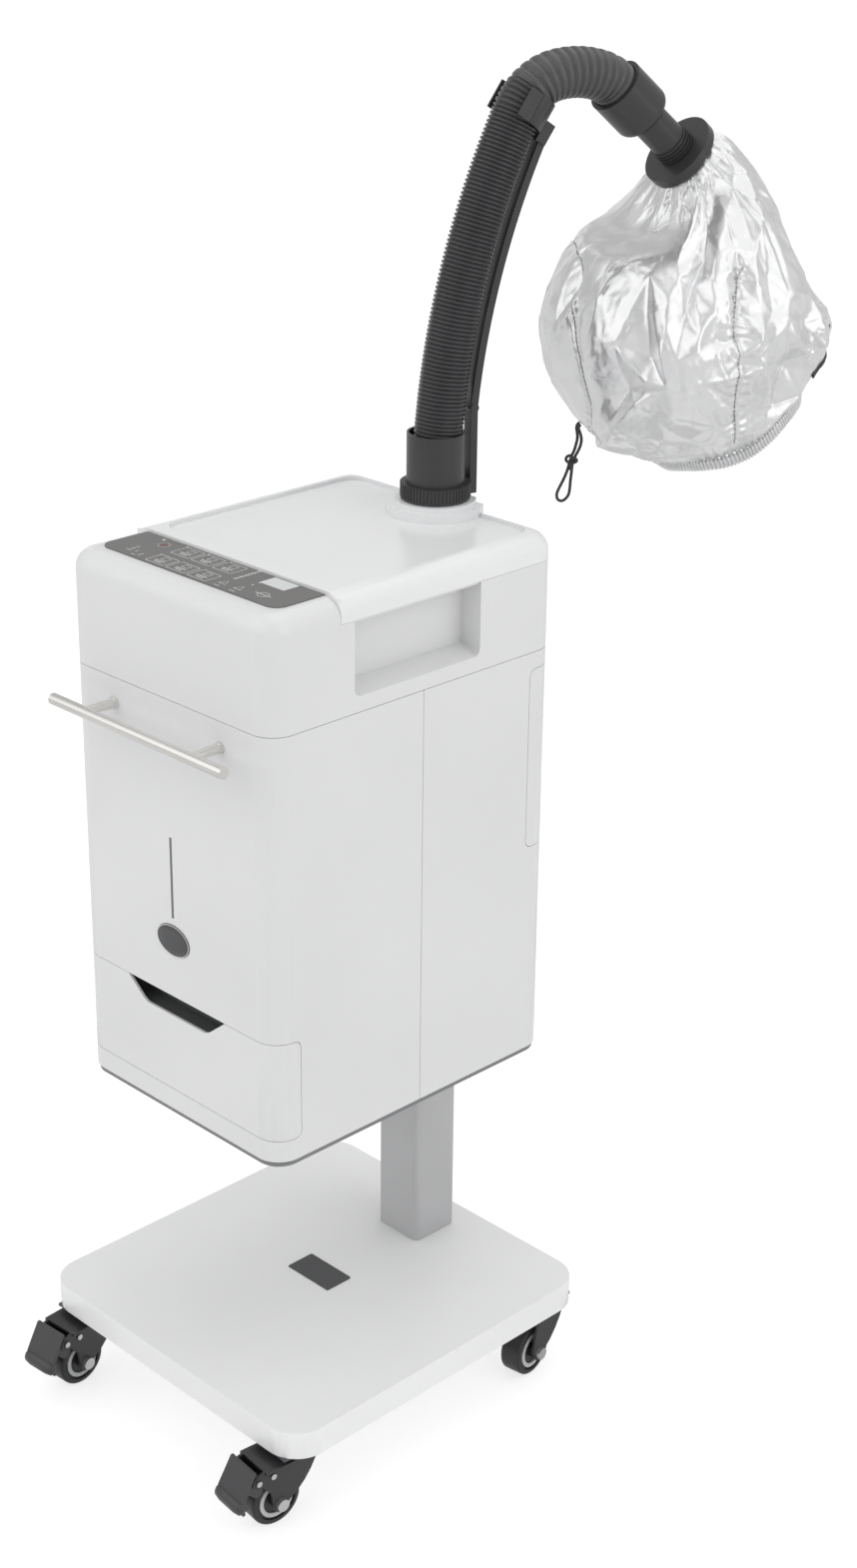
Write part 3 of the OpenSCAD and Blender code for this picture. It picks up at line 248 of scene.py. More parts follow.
shellWhite = mouldedPlastic("shellWhite", **finishes["shell"])
# the lid is the shell's own white plastic made lighter: painted light on the top, which faces the lamps
litTopWhite = mouldedPlastic("litTopWhite", (0.75, 0.754, 0.759), 0.22, 380, gloss=0.6)
boardWhite = mouldedPlastic("boardWhite", **finishes["board"], gloss=0.55)
darkPlastic = mouldedPlastic("darkPlastic", **finishes["darkPlastic"], wear=0.15)
ringPlastic = mouldedPlastic("ringPlastic", (0.03, 0.03, 0.032), 0.45, 700, wear=0.2)
gripGrey = mouldedPlastic("gripGrey", (0.1, 0.106, 0.103), 0.4, 900, wear=0.1)
hoseDark = hoseSkin("hoseDark", **finishes["hose"])
hoseStretched = hoseSkin("hoseStretched", (0.05, 0.05, 0.052), 0.36, 900)
filmGrey = mouldedPlastic("filmGrey", **finishes["film"], wear=0.08)
badgeDark = mouldedPlastic("badgeDark", (0.06, 0.061, 0.064), 0.25, 1300, wear=0.12)
windowPale = mouldedPlastic("windowPale", (0.62, 0.64, 0.64), 0.12, 300, gloss=0.7)
columnGrey = paintedMetal("columnGrey", (0.5, 0.502, 0.508), 0.38, metallic=0.3, flake=900)
panGrey = paintedMetal("panGrey", (0.2, 0.203, 0.208), 0.42)
plateDark = paintedMetal("plateDark", (0.075, 0.077, 0.08), 0.45)
forkBlack = paintedMetal("forkBlack", (0.028, 0.028, 0.03), 0.34, flake=500, edge=0.2)
pedalBlack = paintedMetal("pedalBlack", (0.05, 0.05, 0.053), 0.4, flake=450, edge=0.2)
treadBlack = mouldedPlastic("treadBlack", (0.018, 0.018, 0.019), 0.42, 800, wear=0.2)
ringGrey = mouldedPlastic("ringGrey", (0.5, 0.505, 0.51), 0.35, 500, wear=0.06)
steelX = brushedSteel("steelX", **finishes["steel"], along="x")
steelY = brushedSteel("steelY", finishes["steel"]["colour"], finishes["steel"]["roughness"] + 0.04, "y")
zinc = paintedMetal("zinc", (0.62, 0.62, 0.63), 0.3, metallic=0.9, flake=600)
boilerMetal = brushedSteel("boilerMetal", (0.6, 0.6, 0.6), 0.34, "z")
ductBeige = mouldedPlastic("ductBeige", (0.66, 0.63, 0.57), 0.45, 500)
tankClear = clearTank("tankClear", (0.6, 0.7, 0.75))
boardGreen = circuitGreen("boardGreen")
paleInside = mouldedPlastic("paleInside", (0.7, 0.71, 0.72), 0.4, 500)
markPale = mouldedPlastic("markPale", (0.62, 0.62, 0.61), 0.45, 1500, wear=0.1)
markDim = mouldedPlastic("markDim", (0.52, 0.515, 0.51), 0.45, 1500, wear=0.1)
markRed = mouldedPlastic("markRed", (0.13, 0.068, 0.064), 0.4, 1500, wear=0.1)
silverCloth = metallisedCloth("silverCloth", **finishes["cloth"])
hemCloth = metallisedCloth("hemCloth", (0.5, 0.5, 0.51), 0.36, 1500, rumple=0.2)
bindingBlack = braid("bindingBlack")
cordBlack = braid("cordBlack")
threadGrey = mouldedPlastic("threadGrey", (0.3, 0.3, 0.305), 0.6, 1200, wear=0.2)

finishOf = {
    shellWhite: ["front_shell", "rear_shell", "upper_housing", "drawer_front", "tank_door"],
    # top_cover takes the shell white painted lighter, as painted light on the top
    litTopWhite: ["top_cover"], boardWhite: ["base_board"],
    gripGrey: ["drawer_grip"],
    darkPlastic: ["hose_socket", "lower_cuff", "support_arm", "upper_cuff", "hood_flange", "water_pump",
                  "power_inlet", "power_switch"],
    ringPlastic: ["lock_ring"], hoseDark: ["lower_hose"], hoseStretched: ["upper_hose"],
    filmGrey: ["membrane_panel", "light_strip"], badgeDark: ["badge", "label_plate"],
    windowPale: ["display_window"],
    columnGrey: ["column", "column_foot"], panGrey: ["bottom_pan", "column_head"],
    plateDark: ["chassis_plate", "tank_shelf", "caster_plates"],
    forkBlack: ["fork_front_left", "fork_front_right", "fork_rear_left", "fork_rear_right"],
    pedalBlack: ["brake_pedal_left", "brake_pedal_right"],
    treadBlack: ["wheel_front_left", "wheel_front_right", "wheel_rear_left", "wheel_rear_right"],
    steelX: ["handle_bar"], steelY: ["handle_posts"],
    zinc: ["axle_front_left", "axle_front_right", "axle_rear_left", "axle_rear_right", "frame_screws",
           "drawer_runners"],
    boilerMetal: ["boiler", "heater_element"], ductBeige: ["steam_duct"], tankClear: ["water_tank"],
    boardGreen: ["control_board"], paleInside: ["drawer_box"], silverCloth: ["hood"], hemCloth: ["hood_hem"],
    cordBlack: ["drawcord", "cord_knot"],
}
for material, names in finishOf.items():
    for name in names:
        slots = cadNodes[name].data.materials
        if not slots:
            slots.append(material)
        for i in range(len(slots)):
            slots[i] = material
print("finishes on", sum(len(v) for v in finishOf.values()), "nodes")

# worn edges: width in millimetres
softEdges = {"base_board": 3.5, "column": 1.2, "drawer_front": 0.8, "support_arm": 0.7, "label_plate": 0.3}
for name, width in softEdges.items():
    weld = cadNodes[name].modifiers.new("weld", "WELD")
    weld.merge_threshold = 0.00001
    soft = cadNodes[name].modifiers.new("softEdge", "BEVEL")
    soft.width, soft.segments, soft.limit_method, soft.angle_limit = width / 1000, 3, "ANGLE", math.radians(50)
    soft.harden_normals = True


# Mesh helpers
def makePiece(name, points, faces, material, sharp=None):
    mesh = bpy.data.meshes.new(name)
    mesh.from_pydata([tuple(p) for p in points], [], faces)
    mesh.materials.append(material)
    mesh.polygons.foreach_set("use_smooth", [True] * len(mesh.polygons))
    obj = bpy.data.objects.new(name, mesh)
    bpy.context.scene.collection.objects.link(obj)
    bm = bmesh.new()
    bm.from_mesh(mesh)
    bmesh.ops.recalc_face_normals(bm, faces=bm.faces)
    bm.to_mesh(mesh)
    bm.free()
    if sharp is not None:
        mesh.set_sharp_from_angle(angle=math.radians(sharp))
    return obj


def ringFaces(first, second, count):
    return [(first + j, first + (j + 1) % count, second + (j + 1) % count, second + j) for j in range(count)]


def tube(rings, closedEnds=True):
    # Points and faces of a skin through rings of equal size
    count, points, faces = len(rings[0]), [p for ring in rings for p in ring], []
    for i in range(len(rings) - 1):
        faces += ringFaces(i * count, (i + 1) * count, count)
    if closedEnds:
        faces += [tuple(range(count - 1, -1, -1)), tuple((len(rings) - 1) * count + j for j in range(count))]
    return points, faces


def curve(p0, p1, p2, p3, f):
    # Point at share f between p1 and p2 on a smooth line through all four (Catmull-Rom)
    return p1 + 0.5 * f * (p2 - p0 + f * (2 * p0 - 5 * p1 + 4 * p2 - p3 + f * (3 * (p1 - p2) + p3 - p0)))


def smoothLine(points, steps):
    out = []
    for i in range(len(points) - 1):
        p0, p1, p2, p3 = points[max(i - 1, 0)], points[i], points[i + 1], points[min(i + 2, len(points) - 1)]
        out += [curve(p0, p1, p2, p3, k / steps) for k in range(steps)]
    return out + [points[-1]]


def ringAround(at, along, hint, radius, sides):
    # Points of a round section at right angles to along
    side = along.cross(Vector(hint)).normalized()
    up = along.cross(side)
    turns = (2 * math.pi * j / sides for j in range(sides))
    return [at + (side * math.cos(b) + up * math.sin(b)) * radius for b in turns]


# Drawcord: a loop of black cord that comes out of the hem, through a knot and back in
drawcord = {
    "thickness": 0.0033, "knot": (-60, 203.8, 988.5), "knotSize": 0.0048,
    "route": [
        (-59, 212.1, 1031), (-60, 210.1, 1029.1), (-60.8, 209.6, 1025), (-61, 210.8, 1019.5), (-61, 211.3, 1013.5),
        (-61, 210, 1007.5), (-61, 208, 1001), (-61.4, 205, 994.5), (-61.6, 203, 988.5), (-61.4, 201, 982),
        (-60.5, 197.8, 975.5), (-60, 193.5, 968), (-60, 189, 960.5), (-60, 186.5, 954.5), (-60, 187.5, 949),
        (-60, 192, 946), (-60, 197, 947), (-60, 201.5, 951.5), (-60, 203, 958.5), (-60, 203.5, 966.5),
        (-59.5, 204, 974.5), (-58.8, 204.2, 982), (-58.4, 204.8, 988.5), (-57.6, 207, 994.5), (-56.5, 210.2, 1001),
        (-55.5, 212.3, 1007.5), (-55, 212.6, 1014), (-55, 211, 1020), (-55, 209, 1024.5), (-55, 208.7, 1027.9),
        (-54, 210.6, 1030)],
}


def makeDrawcord():
    route = smoothLine([onArm(*p) for p in drawcord["route"]], 4)
    data = bpy.data.curves.new("drawcordLoop", "CURVE")
    data.dimensions, data.bevel_depth, data.bevel_resolution = "3D", drawcord["thickness"] / 2, 4
    data.use_fill_caps = True
    spline = data.splines.new("POLY")
    spline.points.add(len(route) - 1)
    for point, at in zip(spline.points, route):
        point.co = (*at, 1)
    data.materials.append(cordBlack)
    cord = bpy.data.objects.new("drawcordLoop", data)
    bpy.context.scene.collection.objects.link(cord)
    # the knot is a trefoil of the same cord, drawn tight
    centre, size, stops, turns = onArm(*drawcord["knot"]), drawcord["knotSize"] * 0.62, 72, []
    for i in range(stops):
        a = 2 * math.pi * i / stops
        turns.append(centre + Vector((math.sin(a) + 1.35 * math.sin(2 * a), 0.9 * math.sin(3 * a),
                                      1.25 * (math.cos(a) - 1.35 * math.cos(2 * a)))) * size)
    rings = []
    for i, p in enumerate(turns):
        along = (turns[(i + 1) % stops] - turns[i - 1]).normalized()
        rings.append(ringAround(p, along, (0.3, 0.9, 0.2), drawcord["thickness"] / 2, 12))
    points, faces = tube(rings + [rings[0]], closedEnds=False)
    knot = makePiece("drawcordKnot", points, faces, cordBlack)
    bm = bmesh.new()
    bm.from_mesh(knot.data)
    bmesh.ops.remove_doubles(bm, verts=bm.verts, dist=1e-6)
    bm.to_mesh(knot.data)
    bm.free()
    for piece, node in ((cord, "drawcord"), (knot, "cord_knot")):
        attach(piece, "hood")
        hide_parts(node)
    long = sum((b - a).length for a, b in zip(route, route[1:]))
    print("drawcord", round(long, 3), "m")


makeDrawcord()

# Hose: distances along it in millimetres, bends as (radius, heading in degrees)
hose = {
    "start": 1037.5, "lean": 6, "straight": 50, "bends": [(860, 26), (60, 80), (110, 110), (35, 131)],
    "crest": 25, "root": 22.6, "bore": 19, "pitch": 4.2, "stretchedPitch": 8.4,
    "split": 372.197, "end": 527.169, "seated": 50, "innerStep": 9, "sides": 72,
}


def hoseAt(along):
    # Reach, height and heading of the hose's centre line
    lean, straight = math.radians(hose["lean"]), hose["straight"]
    if along <= straight:
        return along * math.sin(lean), hose["start"] + along * math.cos(lean), lean
    u, z, h = straight * math.sin(lean), hose["start"] + straight * math.cos(lean), lean
    left = along - straight
    for i, (radius, end) in enumerate(hose["bends"]):
        end = math.radians(end)
        long = radius * (end - h)
        if left <= long or i == len(hose["bends"]) - 1:
            g = min(h + left / radius, end)
            rest = max(left - long, 0)
            return (u + radius * (math.cos(h) - math.cos(g)) + rest * math.sin(g),
                    z + radius * (math.sin(g) - math.sin(h)) + rest * math.cos(g), g)
        u, z = u + radius * (math.cos(h) - math.cos(end)), z + radius * (math.sin(end) - math.sin(h))
        left, h = left - long, end


def hoseRing(along, radius, sides):
    u, z, h = hoseAt(along)
    out = []
    for j in range(sides):
        a = 2 * math.pi * j / sides
        out.append(onArm(radius * math.sin(a), u + radius * math.cos(a) * math.cos(h),
                         z - radius * math.cos(a) * math.sin(h)))
    return out


def makeHose(name, start, end, pitch, material, profile):
    ribs = int((end - start) / pitch)
    step = (end - start) / ribs
    rings = [hoseRing(start, hose["root"], hose["sides"])]
    for i in range(ribs):
        for at, rise in profile:
            radius = hose["root"] + rise * (hose["crest"] - hose["root"])
            rings.append(hoseRing(start + (i + at) * step, radius, hose["sides"]))
    inner = int((end - start) / hose["innerStep"])
    for i in range(inner, -1, -1):
        rings.append(hoseRing(start + i * (end - start) / inner, hose["bore"], hose["sides"]))
    points, faces = tube(rings, closedEnds=False)
    faces += ringFaces((len(rings) - 1) * hose["sides"], 0, hose["sides"])
    return makePiece(name, points, faces, material)


# one rib each: share of its pitch, share of its height
closeRib = [(0.12, 0.25), (0.26, 0.86), (0.4, 1), (0.6, 1), (0.74, 0.86), (0.88, 0.25), (1, 0)]
openRib = [(0.1, 0.12), (0.2, 0.62), (0.32, 0.95), (0.45, 1), (0.6, 1), (0.74, 0.95), (0.86, 0.62), (0.94, 0.12),
           (1, 0)]
lowerHose = makeHose("lowerHose", 0, hose["split"], hose["pitch"], hoseDark, closeRib)
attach(lowerHose, "arm")
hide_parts("lower_hose")
upperHose = makeHose("upperHose", hose["split"], hose["end"], hose["stretchedPitch"], hoseStretched, openRib)
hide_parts("upper_hose")
bendFrom, bendTo = (tuple(onArm(0, *hoseAt(along)[:2])) for along in (hose["split"], hose["end"] - hose["seated"]))
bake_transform(upperHose)
print("hose")


# Small pieces on the cabinet and the casters
class Parts:
    # Flat prisms gathered into one mesh; "at" places a point given as (across, up, out)
    def __init__(self, at):
        self.at, self.points, self.faces = at, [], []

    def prism(self, outline, low, high, hole=None):
        first, n = len(self.points), len(outline)
        loops = [(outline, low), (outline, high)] + ([(hole, low), (hole, high)] if hole else [])
        for loop, out in loops:
            self.points += [self.at(x, y, out) for x, y in loop]
        rows = [first + i * n for i in range(len(loops))]
        self.faces += ringFaces(rows[0], rows[1], n)
        if hole:
            for a, b in ((3, 2), (1, 3), (2, 0)):
                self.faces += ringFaces(rows[a], rows[b], n)
        else:
            self.faces += [tuple(range(first, first + n))[::-1], tuple(range(first + n, first + 2 * n))]

    def done(self, name, material, rider):
        piece = makePiece(name, self.points, self.faces, material, sharp=35)
        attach(piece, rider)
        return piece


def rounded(x, y, wide, tall, radius, steps=5):
    corners = []
    for i, (sx, sy) in enumerate(((1, 1), (-1, 1), (-1, -1), (1, -1))):
        for j in range(steps + 1):
            a = math.radians(90 * i + 90 * j / steps)
            corners.append((x + sx * (wide / 2 - radius) + radius * math.cos(a),
                            y + sy * (tall / 2 - radius) + radius * math.sin(a)))
    return corners


def oval(x, y, wide, tall, count=24):
    return [(x + wide / 2 * math.cos(2 * math.pi * i / count), y + tall / 2 * math.sin(2 * math.pi * i / count))
            for i in range(count)]


def nodeBox(name):
    node = cadNodes[name]
    corners = np.array([node.matrix_world @ Vector(c) for c in node.bound_box])
    return corners.min(axis=0) * 1000, corners.max(axis=0) * 1000


# key frames, lamps, bars and signs on the film, measured from the photograph; (across, depth) in millimetres
panel = {
    "lift": 0.1, "line": 0.85,
    "keys": [(x, y, 28, h) for y, h in ((73, 23), (41, 22)) for x in (-50, -19, 12.5)],
    "keyBars": [(0.5, -3, 15), (0.5, -6.5, 11)],
    "lamps": [(-64, 84, 2.6), (-32.5, 84.6, 2.6), (0.5, 84.8, 2.6), (-64, 51, 2.4), (-31, 51.6, 2.4),
              (1.5, 52, 2.4), (-98, 82.3, 3.6), (65, 56.5, 2.2), (65, 65.2, 2.2), (65, 73.7, 2.2),
              (65, 83.4, 2.2)],
    "disc": (-85.3, 71.9, 10),
    "strokes": [(-98, 38, 7, 0.8), (-98, 44, 1, 7), (-98, 50, 5, 0.8), (-84, 32, 6, 0.8), (-78, 37, 0.8, 7),
                (-89, 41, 0.8, 5)],
    "ticks": [(40, 56 + 2.6 * i, 3.2 + 1.5 * (i % 3 == 0)) for i in range(13)],
    "triangles": [(42, 42, 11), (64, 42, 11)], "triangleBars": [(42, 31.5, 8), (64, 31.5, 8)],
    "sign": (93, 45, 22, 17),
}


def makePanelMarks():
    low, high = nodeBox("membrane_panel")
    top, line = high[2], panel["line"]
    on = lambda x, y, out: cab(x, y, top + out)
    pale, dim, red = Parts(on), Parts(on), Parts(on)
    under, over = -0.05, panel["lift"]
    for x, y, wide, tall in panel["keys"]:
        dim.prism(rounded(x, y, wide, tall, 2.4), under, over,
                  hole=rounded(x, y, wide - 2 * line, tall - 2 * line, 1.9))
        dim.prism(rounded(x + 1, y + 4, 9, 7.5, 1), under, over, hole=rounded(x + 1, y + 4, 7.4, 5.9, 0.6))
        for dx, dy, long in panel["keyBars"]:
            pale.prism(rounded(x + dx, y + dy, long, 1.2, 0.4), under, over)
    for x, y, size in panel["lamps"]:
        pale.prism(oval(x, y, size, size), under, over)
    x, y, size = panel["disc"]
    red.prism(oval(x, y, size, size, 36), under, over)
    dim.prism(oval(x, y, size + 2.4, size + 2.4, 36), under, over * 0.8,
              hole=oval(x, y, size + 1.2, size + 1.2, 36))
    for x, y, wide, tall in panel["strokes"]:
        pale.prism(rounded(x, y, wide, tall, 0.3), under, over)
    for x, y, long in panel["ticks"]:
        pale.prism(rounded(x, y, long, 1.2, 0.4), under, over)
    for x, y, size in panel["triangles"]:
        outer = [(x - size / 2, y - size * 0.42), (x + size / 2, y - size * 0.42), (x, y + size * 0.48)]
        dim.prism(outer, under, over, hole=[(x + (a - x) * 0.78, y + (b - y) * 0.78) for a, b in outer])
    for x, y, long in panel["triangleBars"]:
        pale.prism(rounded(x, y, long, 0.9, 0.3), under, over)
    x, y, wide, tall = panel["sign"]
    pale.prism(oval(x, y, wide * 0.6, tall * 0.7), under, over,
               hole=oval(x, y, wide * 0.6 - 1.3, tall * 0.7 - 1.3))
    pale.prism(rounded(x, y, wide, 1, 0.3), under, over)
    pale.done("panelMarksPale", markPale, "cabinet")
    dim.done("panelMarksDim", markDim, "cabinet")
    red.done("panelDisc", markRed, "cabinet")


def makeBadgeRim():
    # Bare badge: a thin pale rim round a low dome
    low, high = nodeBox("badge")
    middle, size = (low + high) / 2, high - low
    face = low[1] / 1000
    at = lambda x, z, out: Vector(((middle[0] + x) / 1000, face - out / 1000, (middle[2] + z) / 1000))
    rim = Parts(at)
    rim.prism(oval(0, 0, size[0] - 0.6, size[2] - 0.6, 64), -0.3, 0.35,
              hole=oval(0, 0, size[0] - 2.4, size[2] - 2.4, 64))
    rim.done("badgeRim", markDim, "cabinet")
    rings = [[at(x, z, out) for x, z in oval(0, 0, (size[0] - 2.6) * share, (size[2] - 2.6) * share, 64)]
             for share, out in ((1, -0.2), (0.98, 0.1), (0.85, 0.5), (0.6, 0.85), (0.3, 1.0), (0.02, 1.05))]
    points, faces = tube(rings)
    dome = makePiece("badgeDome", points, faces, badgeDark)
    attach(dome, "cabinet")


wheels = {"turn": {"front_left": 4, "front_right": -6, "rear_left": -7, "rear_right": 8},
          # ring on each face of the wheel: outer and inner radius and how deep it lies; half the wheel's width
          "ring": (20.8, 16.4, 0.3), "recess": 2, "half": 12.5, "rivets": [(-28, 39), (-10, 40)], "rivetOut": 22.5}


def wheelAxes(name):
    # A wheel's middle, the direction of its axle and the one ahead
    low, high = nodeBox("wheel_" + name)
    turn = math.radians(wheels["turn"][name])
    return (Vector((low + high) / 2000), Vector((math.cos(turn), math.sin(turn), 0)),
            Vector((-math.sin(turn), math.cos(turn), 0)))


def makeWheelTrim():
    outer, inner, deep = wheels["ring"]
    for name in wheels["turn"]:
        middle, axle, ahead = wheelAxes(name)
        for side in (-1, 1):
            at = lambda x, z, out: middle + (ahead * x + Vector((0, 0, z)) + axle * side * out) / 1000
            ring = Parts(at)
            ring.prism(oval(0, 0, 2 * outer, 2 * outer, 64), wheels["half"] - wheels["recess"] - 0.2,
                       wheels["half"] - deep, hole=oval(0, 0, 2 * inner, 2 * inner, 64))
            ring.done("wheelRing_%s_%s" % (name, "ab"[side > 0]), ringGrey, "wheel_" + name)
            if name.startswith("front"):
                cap = Parts(at)
                for x, z in wheels["rivets"]:
                    cap.prism(oval(x, z, 6.6, 6.6), wheels["rivetOut"] - 0.6, wheels["rivetOut"] + 0.5)
                cap.done("rivets_%s_%s" % (name, "ab"[side > 0]), zinc, "caster_" + name)


pads = {"middle": (-49.5, 16), "depth": 14, "height": 16.5, "wide": 46, "round": 7}


def makePedalPads():
    # Full rounded lip along each brake pedal's lower edge
    for side, wheel in (("left", "front_left"), ("right", "front_right")):
        middle, axle, ahead = wheelAxes(wheel)
        x, z = pads["middle"]
        corner, straight = pads["round"], pads["wide"] / 2 - pads["round"]
        rings = []
        for i in range(17):
            # stations across the lip, closer together at its round ends
            u = math.cos(math.pi * i / 16)
            reach = straight + corner * min(1, abs(u) * 1.0001) if abs(u) > 0.5 else 0.7 * pads["wide"] * abs(u)
            at, fall = math.copysign(reach, u), max(0, (reach - straight) / corner)
            size = max(0.02, math.sqrt(max(0, 1 - fall * fall)))
            rings.append([middle + (axle * at + ahead * (x + pads["depth"] / 2 * size * math.cos(b))
                                    + Vector((0, 0, z + pads["height"] / 2 * size * math.sin(b)))) / 1000
                          for b in (2 * math.pi * j / 28 for j in range(28))])
        points, faces = tube(rings)
        pad = makePiece("pedalPad_" + side, points, faces, pedalBlack)
        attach(pad, "brake_" + side)


makePanelMarks()
makePedalPads()
makeBadgeRim()
makeWheelTrim()
print("panel marks, badge rim, wheel rings")

# Hood
hood = {
    "neck": (288.058, 1318.07),
    # sections from neck to hem: reach, drop, tilt, radius
    "sections": [(0, 0, -41, 33), (8, -27, -52, 56.6), (6, -83, -84, 107.3), (9, -158, -84, 144.5),
                 (21, -200, -75, 149), (39, -241, -68, 138.6), (53, -263, -60, 113.2)],
    # the cut: widest section's girth by longest way from neck to hem, and the plain skin's area
    "flat": (0.94, 0.384), "flatArea": 0.232,
    "around": 540, "down": 250, "thickness": 0.0009, "neckGathers": 34, "hemPleats": 190,
    # creases of the cloth: height, width in millimetres, and where they run, as (angle, section)
    "creases": [
        (-1.5, 6, [(224, 2.04), (181, 2.46), (174, 2.79)]),
        (-2.5, 7, [(173, 2.97), (169, 3.36), (171, 3.99), (184, 4.92)]),
        (-2.5, 7, [(96, 2.25), (100, 2.55), (102, 2.97), (103, 3.45), (108, 4.29), (113, 5.25)]),
        (5, 20, [(173, 2.79), (161, 2.43), (152, 2.04), (148, 1.98)]),
        (5, 17, [(158, 1.65), (141, 2.16), (131, 2.43), (131, 2.7), (133, 3.03)]),
        (4, 22, [(172, 2.94), (152, 2.94), (133, 3.03)]),
        (6, 17, [(134, 3.09), (140, 3.51), (146, 3.96), (160, 4.41), (179, 5.01)]),
        (-4, 16, [(137, 3.21), (149, 3.75), (163, 4.38), (181, 4.89)]),
        (4.5, 15, [(133, 3.06), (132, 3.63), (134, 4.26), (139, 4.71), (146, 5.25)]),
        (3.5, 12, [(139, 3.75), (140, 4.2), (144, 4.98)]),
        (4.5, 14, [(133, 3.03), (127, 3.12), (122, 3.24), (119, 3.09), (118, 2.82), (110, 2.55)]),
        (4, 13, [(110, 2.55), (111, 2.25), (106, 1.8), (95, 1.35), (80, 1.08), (70, 0.87), (59, 0.48)]),
        (-4, 12, [(94, 1.02), (109, 1.53), (113, 2.01), (119, 2.34), (123, 2.58)]),
        (5, 26, [(102, 0.45), (124, 1.05), (127, 1.59), (127, 2.16), (123, 2.46)]),
        (3, 16, [(138, 0.54), (149, 0.99), (163, 1.05)]),
        (3.5, 13, [(123, 2.46), (129, 2.49), (131, 2.43)]),
        (3.5, 13, [(123, 2.46), (118, 2.61), (119, 2.79)]),
        (6, 22, [(56, 3.0), (78, 2.85), (91, 2.85), (94, 3.03), (102, 3.45)]),
        (-6, 14, [(63, 3.09), (79, 3.99), (91, 4.86)]),
        (4, 12, [(55, 3.03), (70, 3.87), (78, 4.95)]),
        (5, 15, [(76, 1.71), (85, 2.01), (88, 2.37), (81, 2.73)]),
        (4, 15, [(34, 0.78), (55, 1.2), (68, 1.5), (76, 1.71)]),
        (3, 9, [(107, 1.92), (95, 1.86), (86, 2.07)]),
        (3, 9, [(109, 2.19), (101, 2.16), (92, 2.1), (88, 2.19)]),
        (-3, 9, [(108, 2.4), (99, 2.25), (90, 2.28)]),
        (4, 16, [(225, 2.04), (227, 1.59), (219, 1.08)]),
        (4, 14, [(163, 2.19), (174, 1.77), (200, 1.38), (211, 1.02), (207, 0.51)]),
        (3, 12, [(152, 1.95), (176, 1.38), (194, 1.14), (165, 1.08)]),
        (4, 10, [(199, 1.02), (171, 1.11), (142, 1.41), (137, 1.83)]),
        (-4, 10, [(185, 1.17), (158, 1.29), (155, 1.35)]),
        (4, 15, [(212, 2.61), (188, 2.85), (190, 3.27)]),
        (3.5, 14, [(178, 2.64), (184, 2.94), (193, 3.36)]),
        (4, 15, [(72, 1.68), (60, 2.07), (50, 2.46), (56, 2.67)]),
        (3.5, 13, [(81, 2.28), (72, 2.55), (54, 3.0)]),
        (3.5, 13, [(37, 4.02), (58, 4.11), (68, 4.41)]),
        (-3, 7, [(71, 1.47), (58, 1.5), (39, 1.56)]),
        (4, 12, [(171, 4.83), (160, 4.56), (154, 4.56), (152, 4.89)]),
        (3, 14, [(95, 3.3), (94, 3.6), (91, 3.72)]),
        (3, 16, [(127, 3.75), (119, 3.63), (109, 3.69)]),
        (3, 12, [(119, 3.3), (112, 3.15), (105, 3.33)]),
        (2.5, 8, [(108, 2.34), (104, 2.49), (100, 2.49)]),
        (2.5, 8, [(110, 2.7), (105, 2.73), (101, 2.79)]),
        (2.5, 8, [(99, 2.58), (90, 2.58), (83, 2.7)]),
        (2.5, 8, [(101, 2.85), (95, 2.85), (91, 2.85)]),
        (-2, 7, [(111, 2.94), (107, 3.03), (102, 3.06)]),
        (2.5, 8, [(102, 3.24), (97, 3.15), (94, 3.03)]),
        (2.5, 8, [(118, 4.65), (112, 4.5), (109, 4.5)]),
        (-2.5, 8, [(124, 5.07), (118, 4.68), (111, 4.77)]),
    ],
    # further creases on the side that faces away are drawn by number
    "hiddenCreases": 46, "seed": 7, "creaseRise": 0.45,
    # flat facets between the creases, large and small: size, depth, and height of the sharp folds on their edges
    "facets": [(42, 9, 1.1), (19, 2.1, 0.55)], "creasePoints": 1.5,
    # where the cloth stands off its plain sections: angle, section, rise and reach in millimetres
    "bulges": [(232, 1.2, 15, 62), (215, 0.7, 8, 40), (157, 6, -9, 60), (114, 6, 9, 50), (70, 5.4, -7, 50),
               (45, 3.4, -4, 50)],
    # stitches along the seams, in metres
    "stitch": {"pitch": 0.0052, "length": 0.0038, "radius": 0.0004},
    "binding": {"route": [(37, 4.11), (41, 4.5), (52, 4.7), (60, 4.76), (67, 4.71)], "width": 6.5},
    # the part of the hem whose ruffles show, in degrees; further round they turn under
    "ruffles": (112, 46), "hemAround": 1800,
    # the hem's casing in section, in millimetres: out, down, and how much it ruffles
    "casing": [(0.5, -1.5, 2.0), (1.5, 3, 1.8), (1.8, 7, 1.6), (0.6, 11.5, 1.6), (-2.0, 13.5, 1.4),
               (-3.8, 12, 1.2), (-3.6, 6, 1.4), (-2.2, -0.5, 1.8)],
    # seams: how far the cloth puckers, and the seam's route
    "seams": [(1.2, [(93, 2.15), (98, 2.45), (102, 2.82), (102, 3.18), (104, 3.66), (107, 4.17), (114, 5.49)]),
              (0.4, [(225, 2.04), (194, 2.16), (181, 2.49), (174, 3.03), (171, 3.42), (172, 3.9), (177, 4.44),
                     (191, 5.2)])],
}


def sectionAt(t):
    rows = np.array(hood["sections"], float)
    t = np.asarray(t, float)
    i = np.clip(np.floor(t).astype(int), 0, len(rows) - 2)
    f = (t - i)[..., None]
    return curve(rows[np.maximum(i - 1, 0)], rows[i], rows[i + 1], rows[np.minimum(i + 2, len(rows) - 1)], f)


